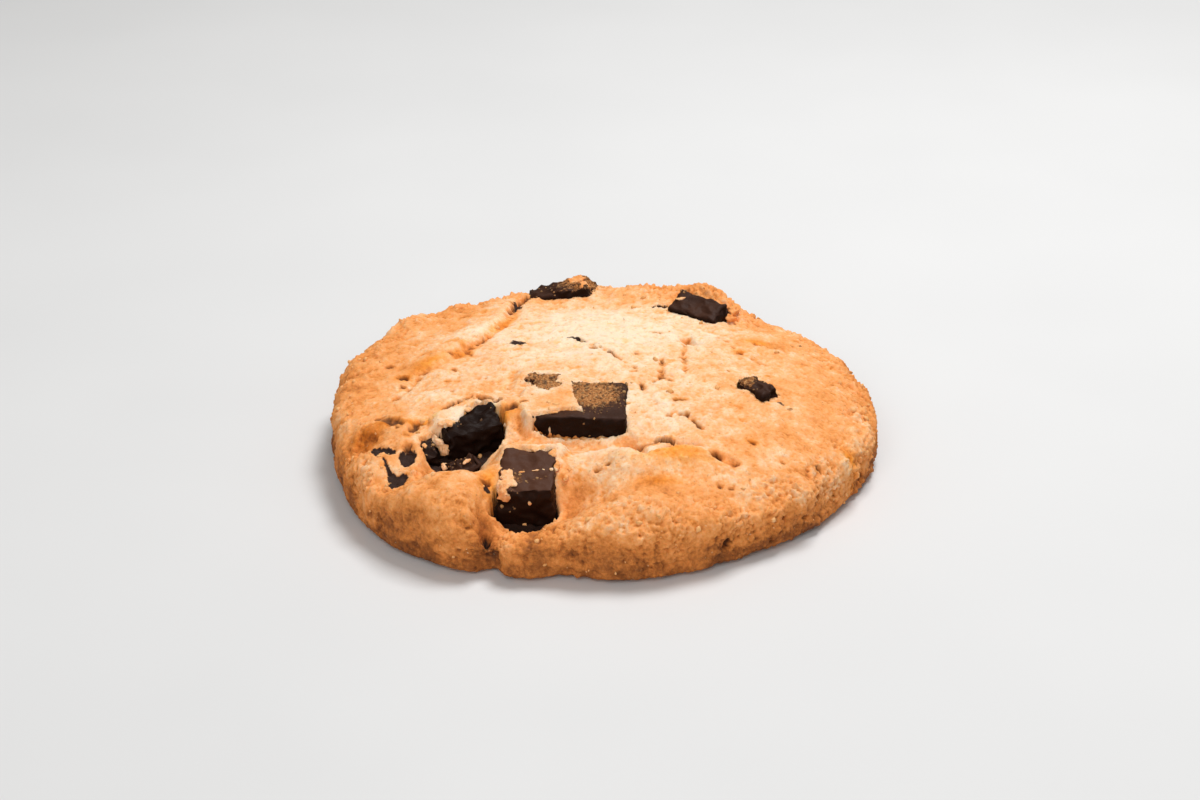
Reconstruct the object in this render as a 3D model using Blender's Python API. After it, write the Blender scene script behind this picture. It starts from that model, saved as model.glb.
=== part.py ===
"""A thick round chocolate chunk cookie that lies on its flat underside.

Metres, +Z up. The origin is in the middle of the underside, +X is the cookie's right and -Y its front.
The dough is a sphere of triangles pushed out to the cookie's form. Each chocolate chunk is a block of
its own that sits in a pocket of the dough.
"""

import math

import bmesh
import bpy
import numpy as np
from mathutils import Euler, Matrix, Vector, noise
from mathutils.bvhtree import BVHTree

MM = 0.001

# Driving sizes of the dough, in millimetres.
RADIUS = 38.3
CENTRE_HEIGHT = 12.0
EDGE_DROP = 2.7
BELLY_HEIGHT = 3.6
SHOULDER_POWER = 5.0
FOOT_POWER = 9.0
FLAT_FOOT = 0.14
CENTRE_SHIFT = (0.0, 0.0)

# How far the edge departs from a circle: angle from +X and half width in degrees, then millimetres.
OUTLINE_LOBES = (
    (-127, 24, 2.4),
    (-112.3, 2.4, -2.0),
    (-97, 6, -1.5),
    (-55, 18, -1.7),
    (-27, 13, -1.3),
    (38, 8, 1.0),
    (55, 9, -0.9),
    (115, 16, 0.7),
    (145, 18, 0.9),
    (170, 10, 0.4),
    (-163, 9, -0.4),
)

# How far the rim departs from the dome's height, in the same form.
RIM_LOBES = (
    (-108, 13, -3.0),
    (-35, 30, -1.2),
    (12, 30, -0.9),
    (47, 7, -1.6),
    (84, 26, 3.3),
    (140, 26, 3.4),
    (180, 20, 1.0),
)

# Soft swellings and hollows of the top: x, y, half length, half width, turn in degrees, height.
MOUNDS = (
    (2.0, 8.0, 19.0, 13.0, 10, 0.7),
    (-3.0, -16.8, 8.5, 3.2, 0, -3.0),
    (-2.5, -28.5, 4.6, 4.2, 0, -2.6),
    (-10.4, -29.8, 4.9, 3.4, -4, -5.6),
    (-9.5, -34.5, 5.5, 3.0, 0, -1.2),
    (-24.0, -32.5, 7.0, 4.4, 20, 1.6),
    (-19.6, -20.0, 5.6, 4.0, 22, -4.4),
    (-28.0, -24.6, 4.4, 2.6, 4, -2.0),
    (-32.5, -15.3, 2.2, 1.9, 20, -1.9),
    (-31.0, -23.0, 2.4, 3.6, -25, 0.8),
    (10.0, -23.6, 7.0, 2.8, 4, 0.9),
    (4.0, -33.5, 6.0, 2.6, 4, 1.0),
    (16.8, 31.4, 5.6, 2.6, -32, 3.8),
    (7.0, 34.0, 4.5, 2.6, -8, 0.9),
    (22.0, -7.0, 9.0, 9.0, 0, 0.5),
    (12.0, -9.5, 4.2, 2.2, -12, 0.6),
    (-28.0, 14.0, 6.0, 9.0, 30, 0.5),
)

# Folds: the dough to the left of the line, as it runs, stands up by the height and fades over the reach.
FOLDS = (
    (((-31.5, -26.5), (-27.0, -26.2), (-22.5, -24.4), (-18.4, -24.6), (-16, -28), (-15.2, -34.5)), -1.3, 4.0),
    (((-12.3, 32.0), (-14.7, 21.0), (-17.7, 13.4), (-21.4, 8.4), (-26.0, 3.5)), -1.1, 5.0),
    (((-14.5, -11.4), (-12.0, -10.4), (-10.6, -10.6)), 1.3, 2.4),
    (((2.0, -20.4), (5.3, -22.8), (8.9, -20.6), (14.0, -20.0)), -1.1, 4.0),
    (((-34.0, -13.0), (-30.0, -12.2), (-27.0, -14.0)), 1.0, 3.0),
)

# Grooves and splits: the line, its half width and its depth.
GROOVES = (
    (((-12.3, 32.0), (-14.7, 21.0), (-17.7, 13.4), (-21.4, 8.4)), 1.0, 0.8),
    (((3.3, -17.6), (5.3, -22.2), (7.2, -21.0), (9.2, -19.6), (11.4, -19.5)), 1.1, 1.6),
    (((15.0, -21.5), (17.0, -23.0)), 0.9, 0.9),
    (((-15.6, -33.0), (-15.0, -36.0), (-14.2, -41.0)), 1.3, 2.9),
    (((11.8, 13.6), (12.7, 11.2)), 1.0, 1.5),
)

# The lowest part of the front side is folded in: angles from +X, height of the fold, half height and depth.
SIDE_FOLD = {"from": -100.0, "to": -78.0, "height": 2.1, "half_height": 0.6, "depth": 0.8}

# Lumps of the surface, in millimetres: their size and how far they stand out.
LUMPS = ((6.0, 0.5), (2.6, 0.36))
BARE_BASE = 0.9

DOUGH_DETAIL = 6
TOP_SHARE = 0.66
DOUGH_TRIANGLES = 7600

# Chocolate chunks: centre, size, turns about X, Y and Z in degrees, share of the size left at the top.
CHUNKS = {
    "chunk_centre": ((-3.5, -8.9, 10.2), (13.2, 10.6, 4.8), (3, 1, -2), (0.98, 0.98)),
    "chunk_front": ((-10.1, -24.3, 6.9), (7.9, 9.2, 6.4), (12, -2, -4), (0.93, 0.96)),
    "chunk_left": ((-18.2, -12.7, 9.1), (8.2, 6.0, 5.0), (12, -6, 21), (0.95, 0.85)),
    "chunk_left_lower": ((-18.9, -19.6, 6.8), (4.6, 3.2, 3.6), (24, -6, 24), (0.9, 0.9)),
    "chunk_left_edge": ((-23.7, -16.2, 7.2), (2.4, 4.2, 3.6), (16, -8, 18), (0.9, 0.9)),
    "chunk_far_left": ((-27.8, -20.6, 6.3), (5.2, 6.6, 3.6), (14, -10, -8), (0.95, 0.95)),
    "chunk_back_left": ((-6.5, 34.0, 8.7), (13.8, 5.4, 5.4), (6, -13, -4), (0.66, 0.8)),
    "chunk_back_right": ((14.1, 25.4, 9.8), (8.6, 4.8, 4.8), (20, 4, -33), (0.95, 0.9)),
    "chunk_right": ((21.0, -4.0, 11.0), (6.2, 3.5, 3.0), (4, 2, -50), (0.9, 0.8)),
    "chunk_flat": ((-8.6, -1.75, 11.6), (5.6, 2.4, 2.2), (2, 0, -8), (0.85, 0.85)),
}
CHUNK_GAP = 0.35
CHUNK_BEVEL = 0.6
CHUNK_CUTS = 2
CHUNK_LUMP = 2.6
CHUNK_ROUGHNESS = 0.3
POCKET_HEADROOM = 5.0
WELD = 0.004

# Small flecks of chocolate that are baked into the top: x, y, length, width and turn.
FLECKS = (
    (-12.5, 11.6, 2.4, 1.7, 0),
    (-4.4, 12.9, 2.4, 1.0, -28),
    (-1.2, 9.6, 2.0, 1.0, -30),
    (7.9, 16.4, 1.9, 1.3, 0),
    (-15.5, -34.6, 2.0, 1.8, 20),
    (24.2, -6.9, 1.8, 1.0, -40),
)
FLECK_THICKNESS = 1.3
FLECK_SHOWS = 0.35

DOUGH_COLOUR = (0.80, 0.42, 0.16, 1.0)
CHOCOLATE_COLOUR = (0.055, 0.024, 0.014, 1.0)


def clear_scene():
    for thing in list(bpy.data.objects):
        bpy.data.objects.remove(thing, do_unlink=True)


def new_collection(name):
    made = bpy.data.collections.new(name)
    bpy.context.scene.collection.children.link(made)
    return made


def new_material(name, colour, roughness):
    made = bpy.data.materials.new(name)
    made.use_nodes = True
    shader = made.node_tree.nodes["Principled BSDF"]
    shader.inputs["Base Color"].default_value = colour
    shader.inputs["Roughness"].default_value = roughness
    shader.inputs["Metallic"].default_value = 0.0
    made.diffuse_color = colour
    return made


def lobes(angle, table):
    """The sum of the bell-shaped lobes at each angle, in millimetres."""
    total = np.zeros_like(angle)
    for at, half_width, amount in table:
        away = (angle - at + 180) % 360 - 180
        total += amount * np.exp(-((away / half_width) ** 2))
    return total


def mound(x, y, at_x, at_y, half_length, half_width, turn, height):
    """A bell-shaped swelling, longer along its turned x than its y."""
    c = math.cos(math.radians(turn))
    s = math.sin(math.radians(turn))
    u = ((x - at_x) * c + (y - at_y) * s) / half_length
    v = ((y - at_y) * c - (x - at_x) * s) / half_width
    return height * np.exp(-(u * u + v * v))


def beside(x, y, line):
    """Distance from the line, the same with its left side positive, and the share of the way along it."""
    starts = np.array(line[:-1])
    runs = np.diff(np.array(line), axis=0)
    lengths = np.hypot(runs[:, 0], runs[:, 1])
    travelled = np.concatenate([[0.0], np.cumsum(lengths)])
    best = np.full_like(x, np.inf)
    signed = np.zeros_like(x)
    share = np.zeros_like(x)
    for start, run, length, before in zip(starts, runs, lengths, travelled):
        along = np.clip(((x - start[0]) * run[0] + (y - start[1]) * run[1]) / length**2, 0, 1)
        off_x = x - start[0] - along * run[0]
        off_y = y - start[1] - along * run[1]
        away = np.hypot(off_x, off_y)
        nearer = away < best
        best = np.where(nearer, away, best)
        signed = np.where(nearer, np.sign(run[0] * off_y - run[1] * off_x) * away, signed)
        share = np.where(nearer, (before + along * length) / travelled[-1], share)
    return best, signed, share


def fold(x, y, line, height, reach):
    """A lip on the left side of the line, or on its right side where the height is negative."""
    _, signed, share = beside(x, y, line)
    inward = signed if height > 0 else -signed
    lip = 1 / (1 + np.exp(-inward / 0.35))
    fading = np.exp(-((np.maximum(inward, 0) / reach) ** 2))
    ends = 1 - np.abs(2 * share - 1) ** 6
    return abs(height) * lip * fading * ends


def groove(x, y, line, half_width, depth):
    away, _, _ = beside(x, y, line)
    return -depth * np.exp(-((away / half_width) ** 2))


def top_height(x, y, reach):
    """Height of the dough's top before its shoulder rounds off. Reach is 0 at the middle and 1 at the edge."""
    height = CENTRE_HEIGHT - EDGE_DROP * reach**2
    height += lobes(np.degrees(np.arctan2(y, x)), RIM_LOBES) * reach**6
    for swelling in MOUNDS:
        height += mound(x, y, *swelling)
    for line, lift, spread in FOLDS:
        height += fold(x, y, line, lift, spread)
    for line, half_width, depth in GROOVES:
        height += groove(x, y, line, half_width, depth)
    return height


def quarter_profile(power, half_height):
    """Even steps along a quarter of a superellipse: share of the way, reach and rise, all 0 to 1."""
    turn = np.linspace(0, math.pi / 2, 400)
    reach = np.sin(turn) ** (2 / power)
    rise = np.cos(turn) ** (2 / power)
    steps = np.hypot(np.diff(reach) * RADIUS, np.diff(rise) * half_height)
    way = np.concatenate([[0.0], np.cumsum(steps)])
    return way / way[-1], reach, rise


def dough_points(directions):
    """The points of the dough's surface, in millimetres, that unit directions from its middle are pushed to."""
    angle = np.arctan2(directions[:, 1], directions[:, 0])
    down = np.arccos(np.clip(directions[:, 2], -1, 1)) / math.pi
    above = down < TOP_SHARE
    way, reach_at, rise_at = quarter_profile(SHOULDER_POWER, CENTRE_HEIGHT - BELLY_HEIGHT)
    top_way = down / TOP_SHARE
    foot, foot_reach, foot_rise = quarter_profile(FOOT_POWER, BELLY_HEIGHT)
    foot_way = (1 - down) / (1 - TOP_SHARE)
    reach = np.where(above, np.interp(top_way, way, reach_at), np.interp(foot_way, foot, foot_reach))
    rise = np.where(above, np.interp(top_way, way, rise_at), np.interp(foot_way, foot, foot_rise))
    radius = (RADIUS + lobes(np.degrees(angle), OUTLINE_LOBES)) * reach
    x = radius * np.cos(angle)
    y = radius * np.sin(angle)
    top = BELLY_HEIGHT + (top_height(x, y, reach) - BELLY_HEIGHT) * rise
    base = np.maximum(BELLY_HEIGHT * (1 - rise) - FLAT_FOOT, 0)
    z = np.where(above, top, base)
    return fold_side(np.column_stack([x, y, z]), np.degrees(angle), reach)


def fold_side(points, angle, reach):
    """Presses the shallow fold into the low part of the front side."""
    middle = (SIDE_FOLD["from"] + SIDE_FOLD["to"]) / 2
    half = (SIDE_FOLD["to"] - SIDE_FOLD["from"]) / 2
    across = np.exp(-(((angle - middle) / half) ** 4))
    up = np.exp(-(((points[:, 2] - SIDE_FOLD["height"]) / SIDE_FOLD["half_height"]) ** 2))
    press = SIDE_FOLD["depth"] * across * up * reach**12
    scale = 1 - press / RADIUS
    points[:, 0] *= scale
    points[:, 1] *= scale
    return points


def lump_height(point, table):
    """How far the noise of the table's lump sizes lifts the surface at a point, in millimetres."""
    return sum(high * noise.noise(Vector(point) / size + Vector((size, 0, 0))) for size, high in table)


def make_dough(collection, material):
    shape = bmesh.new()
    bmesh.ops.create_icosphere(shape, subdivisions=DOUGH_DETAIL, radius=1)
    directions = np.array([v.co for v in shape.verts])
    for vertex, point in zip(shape.verts, dough_points(directions)):
        vertex.co = point
    shape.normal_update()
    for vertex in shape.verts:
        if vertex.co.z > BARE_BASE:
            fade = min((vertex.co.z - BARE_BASE) / 1.5, 1)
            vertex.co += vertex.normal * lump_height(vertex.co, LUMPS) * fade
    bmesh.ops.translate(shape, verts=shape.verts, vec=(*CENTRE_SHIFT, 0))
    bmesh.ops.scale(shape, verts=shape.verts, vec=(MM, MM, MM))
    before = len(shape.faces)
    dough = object_from(shape, "dough", collection, material)
    thin = dough.modifiers.new("fewer triangles", "DECIMATE")
    thin.ratio = DOUGH_TRIANGLES / before
    return dough


def object_from(shape, name, collection, material):
    mesh = bpy.data.meshes.new(name)
    shape.to_mesh(mesh)
    shape.free()
    mesh.shade_smooth()
    if material:
        mesh.materials.append(material)
    made = bpy.data.objects.new(name, mesh)
    collection.objects.link(made)
    return made


def block(size, taper, seed, grow=0.0, headroom=0.0):
    """A tapered, bevelled block with uneven faces. Grow moves its faces out, and headroom raises the top."""
    shape = bmesh.new()
    bmesh.ops.create_cube(shape, size=1)
    for vertex in shape.verts:
        for axis in range(2):
            share = taper[axis] if vertex.co.z > 0 else 1
            vertex.co[axis] *= size[axis] * share + 2 * grow
        vertex.co.z *= size[2] + 2 * grow
    bmesh.ops.bevel(
        shape, geom=shape.edges[:], offset=CHUNK_BEVEL, segments=2, profile=0.6, affect="EDGES"
    )
    long_edges = [edge for edge in shape.edges if edge.calc_length() > CHUNK_BEVEL * 2]
    bmesh.ops.subdivide_edges(shape, edges=long_edges, cuts=CHUNK_CUTS, use_grid_fill=True)
    bmesh.ops.triangulate(shape, faces=shape.faces[:])
    shape.normal_update()
    offset = Vector((seed * 3.7, seed * 1.9, 0))
    for vertex in shape.verts:
        own = Vector([c * length / (length + 2 * grow) for c, length in zip(vertex.co, size)])
        vertex.co += vertex.normal * CHUNK_ROUGHNESS * noise.noise(own / CHUNK_LUMP + offset)
        if vertex.co.z > 0:
            vertex.co.z += headroom
    bmesh.ops.scale(shape, verts=shape.verts, vec=(MM, MM, MM))
    return shape


def fuse_flecks(dough, material):
    """Joins the flecks to the dough's top in one union."""
    flecks = new_collection("flecks")
    skin = BVHTree.FromObject(dough, bpy.context.evaluated_depsgraph_get())
    for number, (x, y, length, width, turn) in enumerate(FLECKS):
        above = Vector((x, y, 2 * CENTRE_HEIGHT)) * MM
        point, normal, _, _ = skin.ray_cast(above, Vector((0, 0, -1)))
        shape = bmesh.new()
        bmesh.ops.create_icosphere(shape, subdivisions=2, radius=MM / 2)
        bmesh.ops.scale(shape, verts=shape.verts, vec=(length, width, FLECK_THICKNESS))
        fleck = object_from(shape, f"fleck_{number}", flecks, material)
        lean = normal.to_track_quat("Z", "Y").to_matrix() @ Matrix.Rotation(math.radians(turn), 3, "Z")
        fleck.matrix_world = Matrix.LocRotScale(
            point - normal * (FLECK_THICKNESS / 2 - FLECK_SHOWS) * MM, lean.to_quaternion(), None
        )
    apply_boolean(dough, flecks, "UNION")


def place(thing, centre, turns):
    thing.location = [(c + shift) * MM for c, shift in zip(centre, (*CENTRE_SHIFT, 0))]
    thing.rotation_euler = Euler([math.radians(turn) for turn in turns])


def make_chunks(collection, pockets, material):
    for seed, (name, (centre, size, turns, taper)) in enumerate(CHUNKS.items(), 1):
        place(object_from(block(size, taper, seed), name, collection, material), centre, turns)
        pocket = block(size, taper, seed, CHUNK_GAP, POCKET_HEADROOM)
        place(object_from(pocket, "pocket_" + name, pockets, None), centre, turns)


def apply_boolean(dough, others, operation):
    """Joins or cuts the dough with a collection of objects, then removes those and any loose scrap of dough."""
    joined = dough.modifiers.new(others.name, "BOOLEAN")
    joined.operation = operation
    joined.solver = "MANIFOLD"
    joined.operand_type = "COLLECTION"
    joined.collection = others
    bpy.context.view_layer.update()
    graph = bpy.context.evaluated_depsgraph_get()
    result = bpy.data.meshes.new_from_object(dough.evaluated_get(graph))
    dough.modifiers.clear()
    shape = bmesh.new()
    shape.from_mesh(result)
    bmesh.ops.remove_doubles(shape, verts=shape.verts, dist=WELD * MM)
    drop_scraps(shape)
    shape.to_mesh(dough.data)
    shape.free()
    dough.data.shade_smooth()
    for other in list(others.objects):
        bpy.data.objects.remove(other, do_unlink=True)
    bpy.data.collections.remove(others)


def drop_scraps(shape):
    """Keeps the largest joined body of the shape."""
    unseen = set(shape.verts)
    bodies = []
    while unseen:
        body = set()
        edge_of_body = [unseen.pop()]
        while edge_of_body:
            vertex = edge_of_body.pop()
            body.add(vertex)
            for edge in vertex.link_edges:
                other = edge.other_vert(vertex)
                if other in unseen:
                    unseen.remove(other)
                    edge_of_body.append(other)
        bodies.append(body)
    bodies.sort(key=len)
    scraps = [vertex for body in bodies[:-1] for vertex in body]
    bmesh.ops.delete(shape, geom=scraps, context="VERTS")


def main():
    clear_scene()
    cookie = new_collection("cookie")
    pockets = new_collection("pockets")
    baked_dough = new_material("baked dough", DOUGH_COLOUR, 0.85)
    chocolate = new_material("dark chocolate", CHOCOLATE_COLOUR, 0.45)
    dough = make_dough(cookie, baked_dough)
    fuse_flecks(dough, baked_dough)
    make_chunks(cookie, pockets, chocolate)
    apply_boolean(dough, pockets, "DIFFERENCE")


main()
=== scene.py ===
"""The looks of a thick round chocolate chunk cookie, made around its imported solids.

The dough, the chunks and the crumbs are laid out in millimetres, with the origin in the middle of the
underside, +X to the cookie's right and -Y to its front, and every finished mesh is scaled to metres.
"""

import math

import bmesh
import bpy
import numpy as np
from mathutils import Euler, Matrix, Vector, noise


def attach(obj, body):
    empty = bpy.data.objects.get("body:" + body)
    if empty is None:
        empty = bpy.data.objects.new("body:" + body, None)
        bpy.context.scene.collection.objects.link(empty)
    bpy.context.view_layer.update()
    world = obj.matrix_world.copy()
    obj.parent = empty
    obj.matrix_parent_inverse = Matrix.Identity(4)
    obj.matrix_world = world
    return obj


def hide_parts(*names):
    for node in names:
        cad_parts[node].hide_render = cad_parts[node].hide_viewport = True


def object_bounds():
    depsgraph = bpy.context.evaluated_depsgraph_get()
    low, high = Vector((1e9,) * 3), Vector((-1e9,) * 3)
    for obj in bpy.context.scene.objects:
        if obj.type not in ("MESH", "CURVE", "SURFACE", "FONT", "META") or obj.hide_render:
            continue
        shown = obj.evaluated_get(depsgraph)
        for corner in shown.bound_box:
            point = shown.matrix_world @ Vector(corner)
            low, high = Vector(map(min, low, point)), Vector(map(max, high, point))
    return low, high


MM = 0.001

# Driving sizes of the dough, in millimetres.
RADIUS = 38.3
CENTRE_HEIGHT = 12.0
EDGE_DROP = 2.7
BELLY_HEIGHT = 3.6
SHOULDER_POWER = 5.0
FOOT_POWER = 9.0
FLAT_FOOT = 0.14

# Shares of the outline where the top ends, over which it fades, where the side begins and the underside ends.
TOP_REACH = 0.985
TOP_FADE = 0.05
SIDE_REACH = 0.8
UNDERSIDE_REACH = 0.9

# How far the edge departs from a circle: angle from +X and half width in degrees, then millimetres.
OUTLINE_LOBES = (
    (-127, 24, 2.4),
    (-112.3, 2.4, -2.0),
    (-97, 6, -1.5),
    (-55, 18, -1.7),
    (-27, 13, -1.3),
    (38, 8, 1.0),
    (55, 9, -0.9),
    (115, 16, 0.7),
    (145, 18, 0.9),
    (170, 10, 0.4),
    (-163, 9, -0.4),
)

# How far the rim departs from the dome's height, in the same form.
RIM_LOBES = (
    (-108, 13, -3.0),
    (-35, 30, -1.2),
    (12, 30, -0.9),
    (47, 7, -1.6),
    (84, 26, 3.3),
    (140, 26, 3.4),
    (180, 20, 1.0),
)

# Soft swellings and hollows of the top: x, y, half length, half width, turn in degrees, height.
MOUNDS = (
    (2.0, 8.0, 19.0, 13.0, 10, 0.7),
    (-3.0, -16.8, 8.5, 3.2, 0, -3.0),
    (-2.5, -28.5, 4.6, 4.2, 0, -2.6),
    (-10.4, -29.8, 4.9, 3.4, -4, -5.6),
    (-9.5, -34.5, 5.5, 3.0, 0, -1.2),
    (-4.6, -28.0, 1.7, 3.4, 0, -1.3),
    (-12.8, -10.4, 2.2, 2.6, 0, 1.1),
    (3.8, -16.4, 2.2, 1.2, -20, -0.4),
    (-0.5, -36.4, 3.0, 1.6, 0, 0.5),
    (9.5, -34.6, 3.5, 1.4, 8, 0.45),
    (-24.0, -32.5, 7.0, 4.4, 20, 1.6),
    (-19.6, -20.0, 5.6, 4.0, 22, -4.4),
    (-28.0, -24.6, 4.4, 2.6, 4, -2.0),
    (-32.5, -15.3, 2.2, 1.9, 20, -1.9),
    (-31.0, -23.0, 2.4, 3.6, -25, 0.8),
    (10.0, -23.6, 7.0, 2.8, 4, 0.9),
    (4.0, -33.5, 6.0, 2.6, 4, 1.0),
    (16.8, 31.4, 5.6, 2.6, -32, 3.8),
    (7.0, 34.0, 4.5, 2.6, -8, 0.9),
    (22.0, -7.0, 9.0, 9.0, 0, 0.5),
    (12.0, -9.5, 4.2, 2.2, -12, 0.6),
    (-28.0, 14.0, 6.0, 9.0, 30, 0.5),
)

# Folds: the dough to the left of the line, as it runs, stands up by the height and fades over the reach.
FOLDS = (
    (
        ((-31.5, -26.5), (-27.0, -26.2), (-22.5, -24.4), (-18.4, -24.6), (-16.0, -28.0), (-15.2, -34.5)),
        -1.3,
        4.0,
    ),
    (((-12.3, 32.0), (-14.7, 21.0), (-17.7, 13.4), (-21.4, 8.4), (-26.0, 3.5)), -0.8, 5.0),
    (((-14.5, -11.4), (-12.0, -10.4), (-10.6, -10.6)), 1.3, 2.4),
    (((2.0, -20.4), (5.3, -22.8), (8.9, -20.6), (14.0, -20.0)), -1.1, 4.0),
    (((-34.0, -13.0), (-30.0, -12.2), (-27.0, -14.0)), 1.0, 3.0),
)

FOLD_LIP = 0.55

# Grooves and splits: the line, its half width and its depth.
GROOVES = (
    (((-12.3, 32.0), (-14.7, 21.0), (-17.7, 13.4), (-21.4, 8.4)), 1.0, 0.8),
    (((3.3, -17.6), (5.3, -22.2), (7.2, -21.0), (9.2, -19.6), (11.4, -19.5)), 1.1, 1.6),
    (((15.0, -21.5), (17.0, -23.0)), 0.9, 0.9),
    (((-15.6, -33.0), (-15.0, -36.0), (-14.2, -41.0)), 1.3, 2.9),
    (((11.8, 13.6), (12.7, 11.2)), 1.0, 1.5),
)

# Fine cracks of the crust that are too small for the solid, in the same form.
CRACKS = (
    (((-22.5, -9.0), (-19.9, -6.6), (-17.8, -5.4), (-15.2, -6.6)), 0.34, 1.3),
    (((-17.6, -6.6), (-16.9, -5.8), (-15.9, -7.1), (-14.5, -9.9)), 0.6, 1.5),
    (((-14.6, -11.6), (-13.1, -11.4), (-10.6, -9.8)), 0.3, 0.8),
    (((7.9, -12.2), (9.5, -11.4), (11.2, -11.9), (12.7, -14.6), (13.1, -15.5)), 0.3, 0.6),
    (((4.3, -17.8), (5.6, -17.9), (7.8, -17.3), (9.4, -18.2)), 0.36, 1.3),
    (((11.6, 12.2), (12.6, 14.8)), 0.3, 0.8),
    (((11.6, 11.8), (11.2, 5.7), (11.4, 1.2)), 0.3, 0.35),
    (((-3.4, 11.6), (0.7, 6.5), (4.8, 1.0)), 0.3, 0.45),
    (((8.1, 4.5), (7.9, -0.8), (6.2, -3.4)), 0.3, 0.4),
    (((-31.5, -8.6), (-27.8, -12.6), (-26.1, -13.3), (-24.6, -11.3)), 0.8, 0.7),
    (((-19.0, 7.4), (-19.9, 10.7), (-18.0, 13.0), (-16.1, 16.9)), 0.35, 0.4),
    (((-14.2, 24.5), (-13.3, 29.0), (-11.0, 34.0)), 0.4, 0.8),
    (((-24.8, 4.8), (-27.5, -1.0), (-29.5, -4.5)), 0.4, 0.4),
    (((14.0, -20.8), (15.6, -21.6)), 0.5, 1.1),
    (((16.5, 14.6), (19.3, 9.1), (24.0, 5.0)), 0.3, 0.3),
)


# How far the walls of cracks and pits waver, coarsely and finely, and over what share a crack's ends close.
RAGGED_WALLS = (0.26, 0.20)
CRACK_ENDS = 0.2

# Pits of the crust: x, y, half length, half width, turn, depth.
PITS = (
    (-3.4, 11.6, 1.01, 0.4, -52, 1.04),
    (-1.6, 8.3, 0.62, 0.32, -58, 0.72),
    (0.7, 6.5, 0.7, 0.43, -60, 1.04),
    (4.6, 6.6, 0.35, 0.32, 0, 0.8),
    (7.6, 15.1, 0.94, 0.43, -18, 0.48),
    (11.6, 12.2, 1.01, 0.68, 33, 1.36),
    (11.2, 5.7, 0.35, 0.29, 0, 0.56),
    (11.4, 1.2, 0.39, 0.29, 0, 0.56),
    (8.1, 4.5, 0.62, 0.27, -83, 0.56),
    (7.9, -0.8, 0.7, 0.36, -80, 0.64),
    (9, -1.8, 0.31, 0.29, 0, 0.64),
    (5.2, -4.1, 1.01, 0.29, -79, 0.72),
    (10.2, -7.9, 1.01, 0.58, 15, 0.72),
    (7.8, -17.3, 1.25, 0.5, -20, 1.28),
    (5.6, -17.9, 0.47, 0.36, 0, 0.88),
    (4.5, -17.8, 0.7, 0.43, -44, 1.04),
    (16.7, 13.9, 0.7, 0.27, -88, 0.4),
    (19.3, 9.1, 0.55, 0.32, 17, 0.48),
    (22.1, 12.7, 0.62, 0.32, 11, 0.56),
    (3.9, 0.5, 0.47, 0.32, 0, 0.4),
    (14.9, -21.1, 0.78, 0.54, -24, 1.2),
    (19.7, -17.6, 0.62, 0.29, -46, 0.56),
    (23.5, -20.9, 0.35, 0.29, 0, 0.56),
    (17.4, -22.7, 0.35, 0.29, 0, 0.56),
    (16.6, -27.5, 0.42, 0.3, 12, 0.5),
    (14.9, -27.6, 0.42, 0.3, 29, 0.45),
    (28.4, -20.1, 0.39, 0.29, 0, 0.56),
    (-30.6, 6.8, 0.43, 0.4, 0, 1.04),
    (-28.5, 2.6, 0.78, 0.5, -36, 0.72),
    (-28.3, 0, 0.47, 0.32, -39, 0.72),
    (-22.1, 8.8, 0.47, 0.32, 34, 0.48),
    (-21.1, 3.4, 0.55, 0.27, -66, 0.56),
    (-21.4, -3.4, 0.35, 0.32, 0, 0.56),
    (-0.9, -24.7, 0.4, 0.3, -30, 0.5),
    (0.3, -24.5, 0.35, 0.3, 0, 0.5),
    (-23.4, -16.4, 0.62, 1.37, 35, 1.76),
    (-26.4, -17.2, 0.55, 0.65, 0, 1.28),
    (-15.6, -27.2, 0.55, 0.36, 20, 1.12),
)

# Pits of the side: angle from +X in degrees, height, radius and depth.
SIDE_PITS = (
    (-53.5, 2.0, 0.6, 1.0),
    (-50.0, 4.3, 0.45, 0.7),
    (-44.0, 3.2, 0.5, 0.8),
    (-39.5, 5.2, 0.45, 0.7),
    (-64.5, 3.2, 0.6, 1.1),
    (-20.0, 3.6, 0.7, 1.0),
    (24.0, 4.6, 0.6, 0.9),
    (61.0, 2.6, 0.8, 1.1),
    (98.0, 5.4, 0.7, 1.0),
    (131.0, 3.0, 0.6, 0.9),
    (158.0, 4.8, 0.8, 1.2),
    (-172.0, 2.4, 0.6, 0.9),
    (-148.0, 4.0, 0.5, 0.8),
)

# How far the foot steps in and out below the belly, in the same form as the edge.
FOOT_LOBES = (
    (-103.5, 2.2, 0.35),
    (-99.5, 1.5, -0.40),
    (-91.0, 4.0, 0.30),
    (-75.5, 1.6, -0.30),
    (-71.0, 2.4, 0.35),
    (-66.5, 1.3, -0.30),
    (-61.5, 2.2, 0.30),
    (-52.0, 3.0, 0.25),
    (-134.0, 2.0, 0.30),
    (-126.0, 2.5, -0.30),
    (-20.0, 3.5, 0.30),
    (10.0, 3.0, -0.30),
    (48.0, 3.0, 0.30),
    (86.0, 3.5, -0.30),
    (118.0, 3.0, 0.30),
    (152.0, 3.0, -0.30),
    (-165.0, 3.0, 0.30),
)
FOOT_HEIGHT = 2.6
UNDERSIDE_HOLLOWS = 0.28

# Lumps of the surface, in millimetres: their size and how far they stand out.
LUMPS = ((6.5, 0.42), (2.8, 0.18), (1.6, 0.12))
RIM_UNEVENNESS = 1.0
BARE_BASE = 0.9

SKIN_STEP = 0.21
UNDERSIDE_STEP = 0.7
FOOT_STEP = SKIN_STEP * 1.3
FOOT_WIDTH = 2.0
NO_REACH = 0.001
DOUGH_TRIANGLES = 192000
HIGHEST = 13.1
TOP_SOFTENING = 0.1

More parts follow.
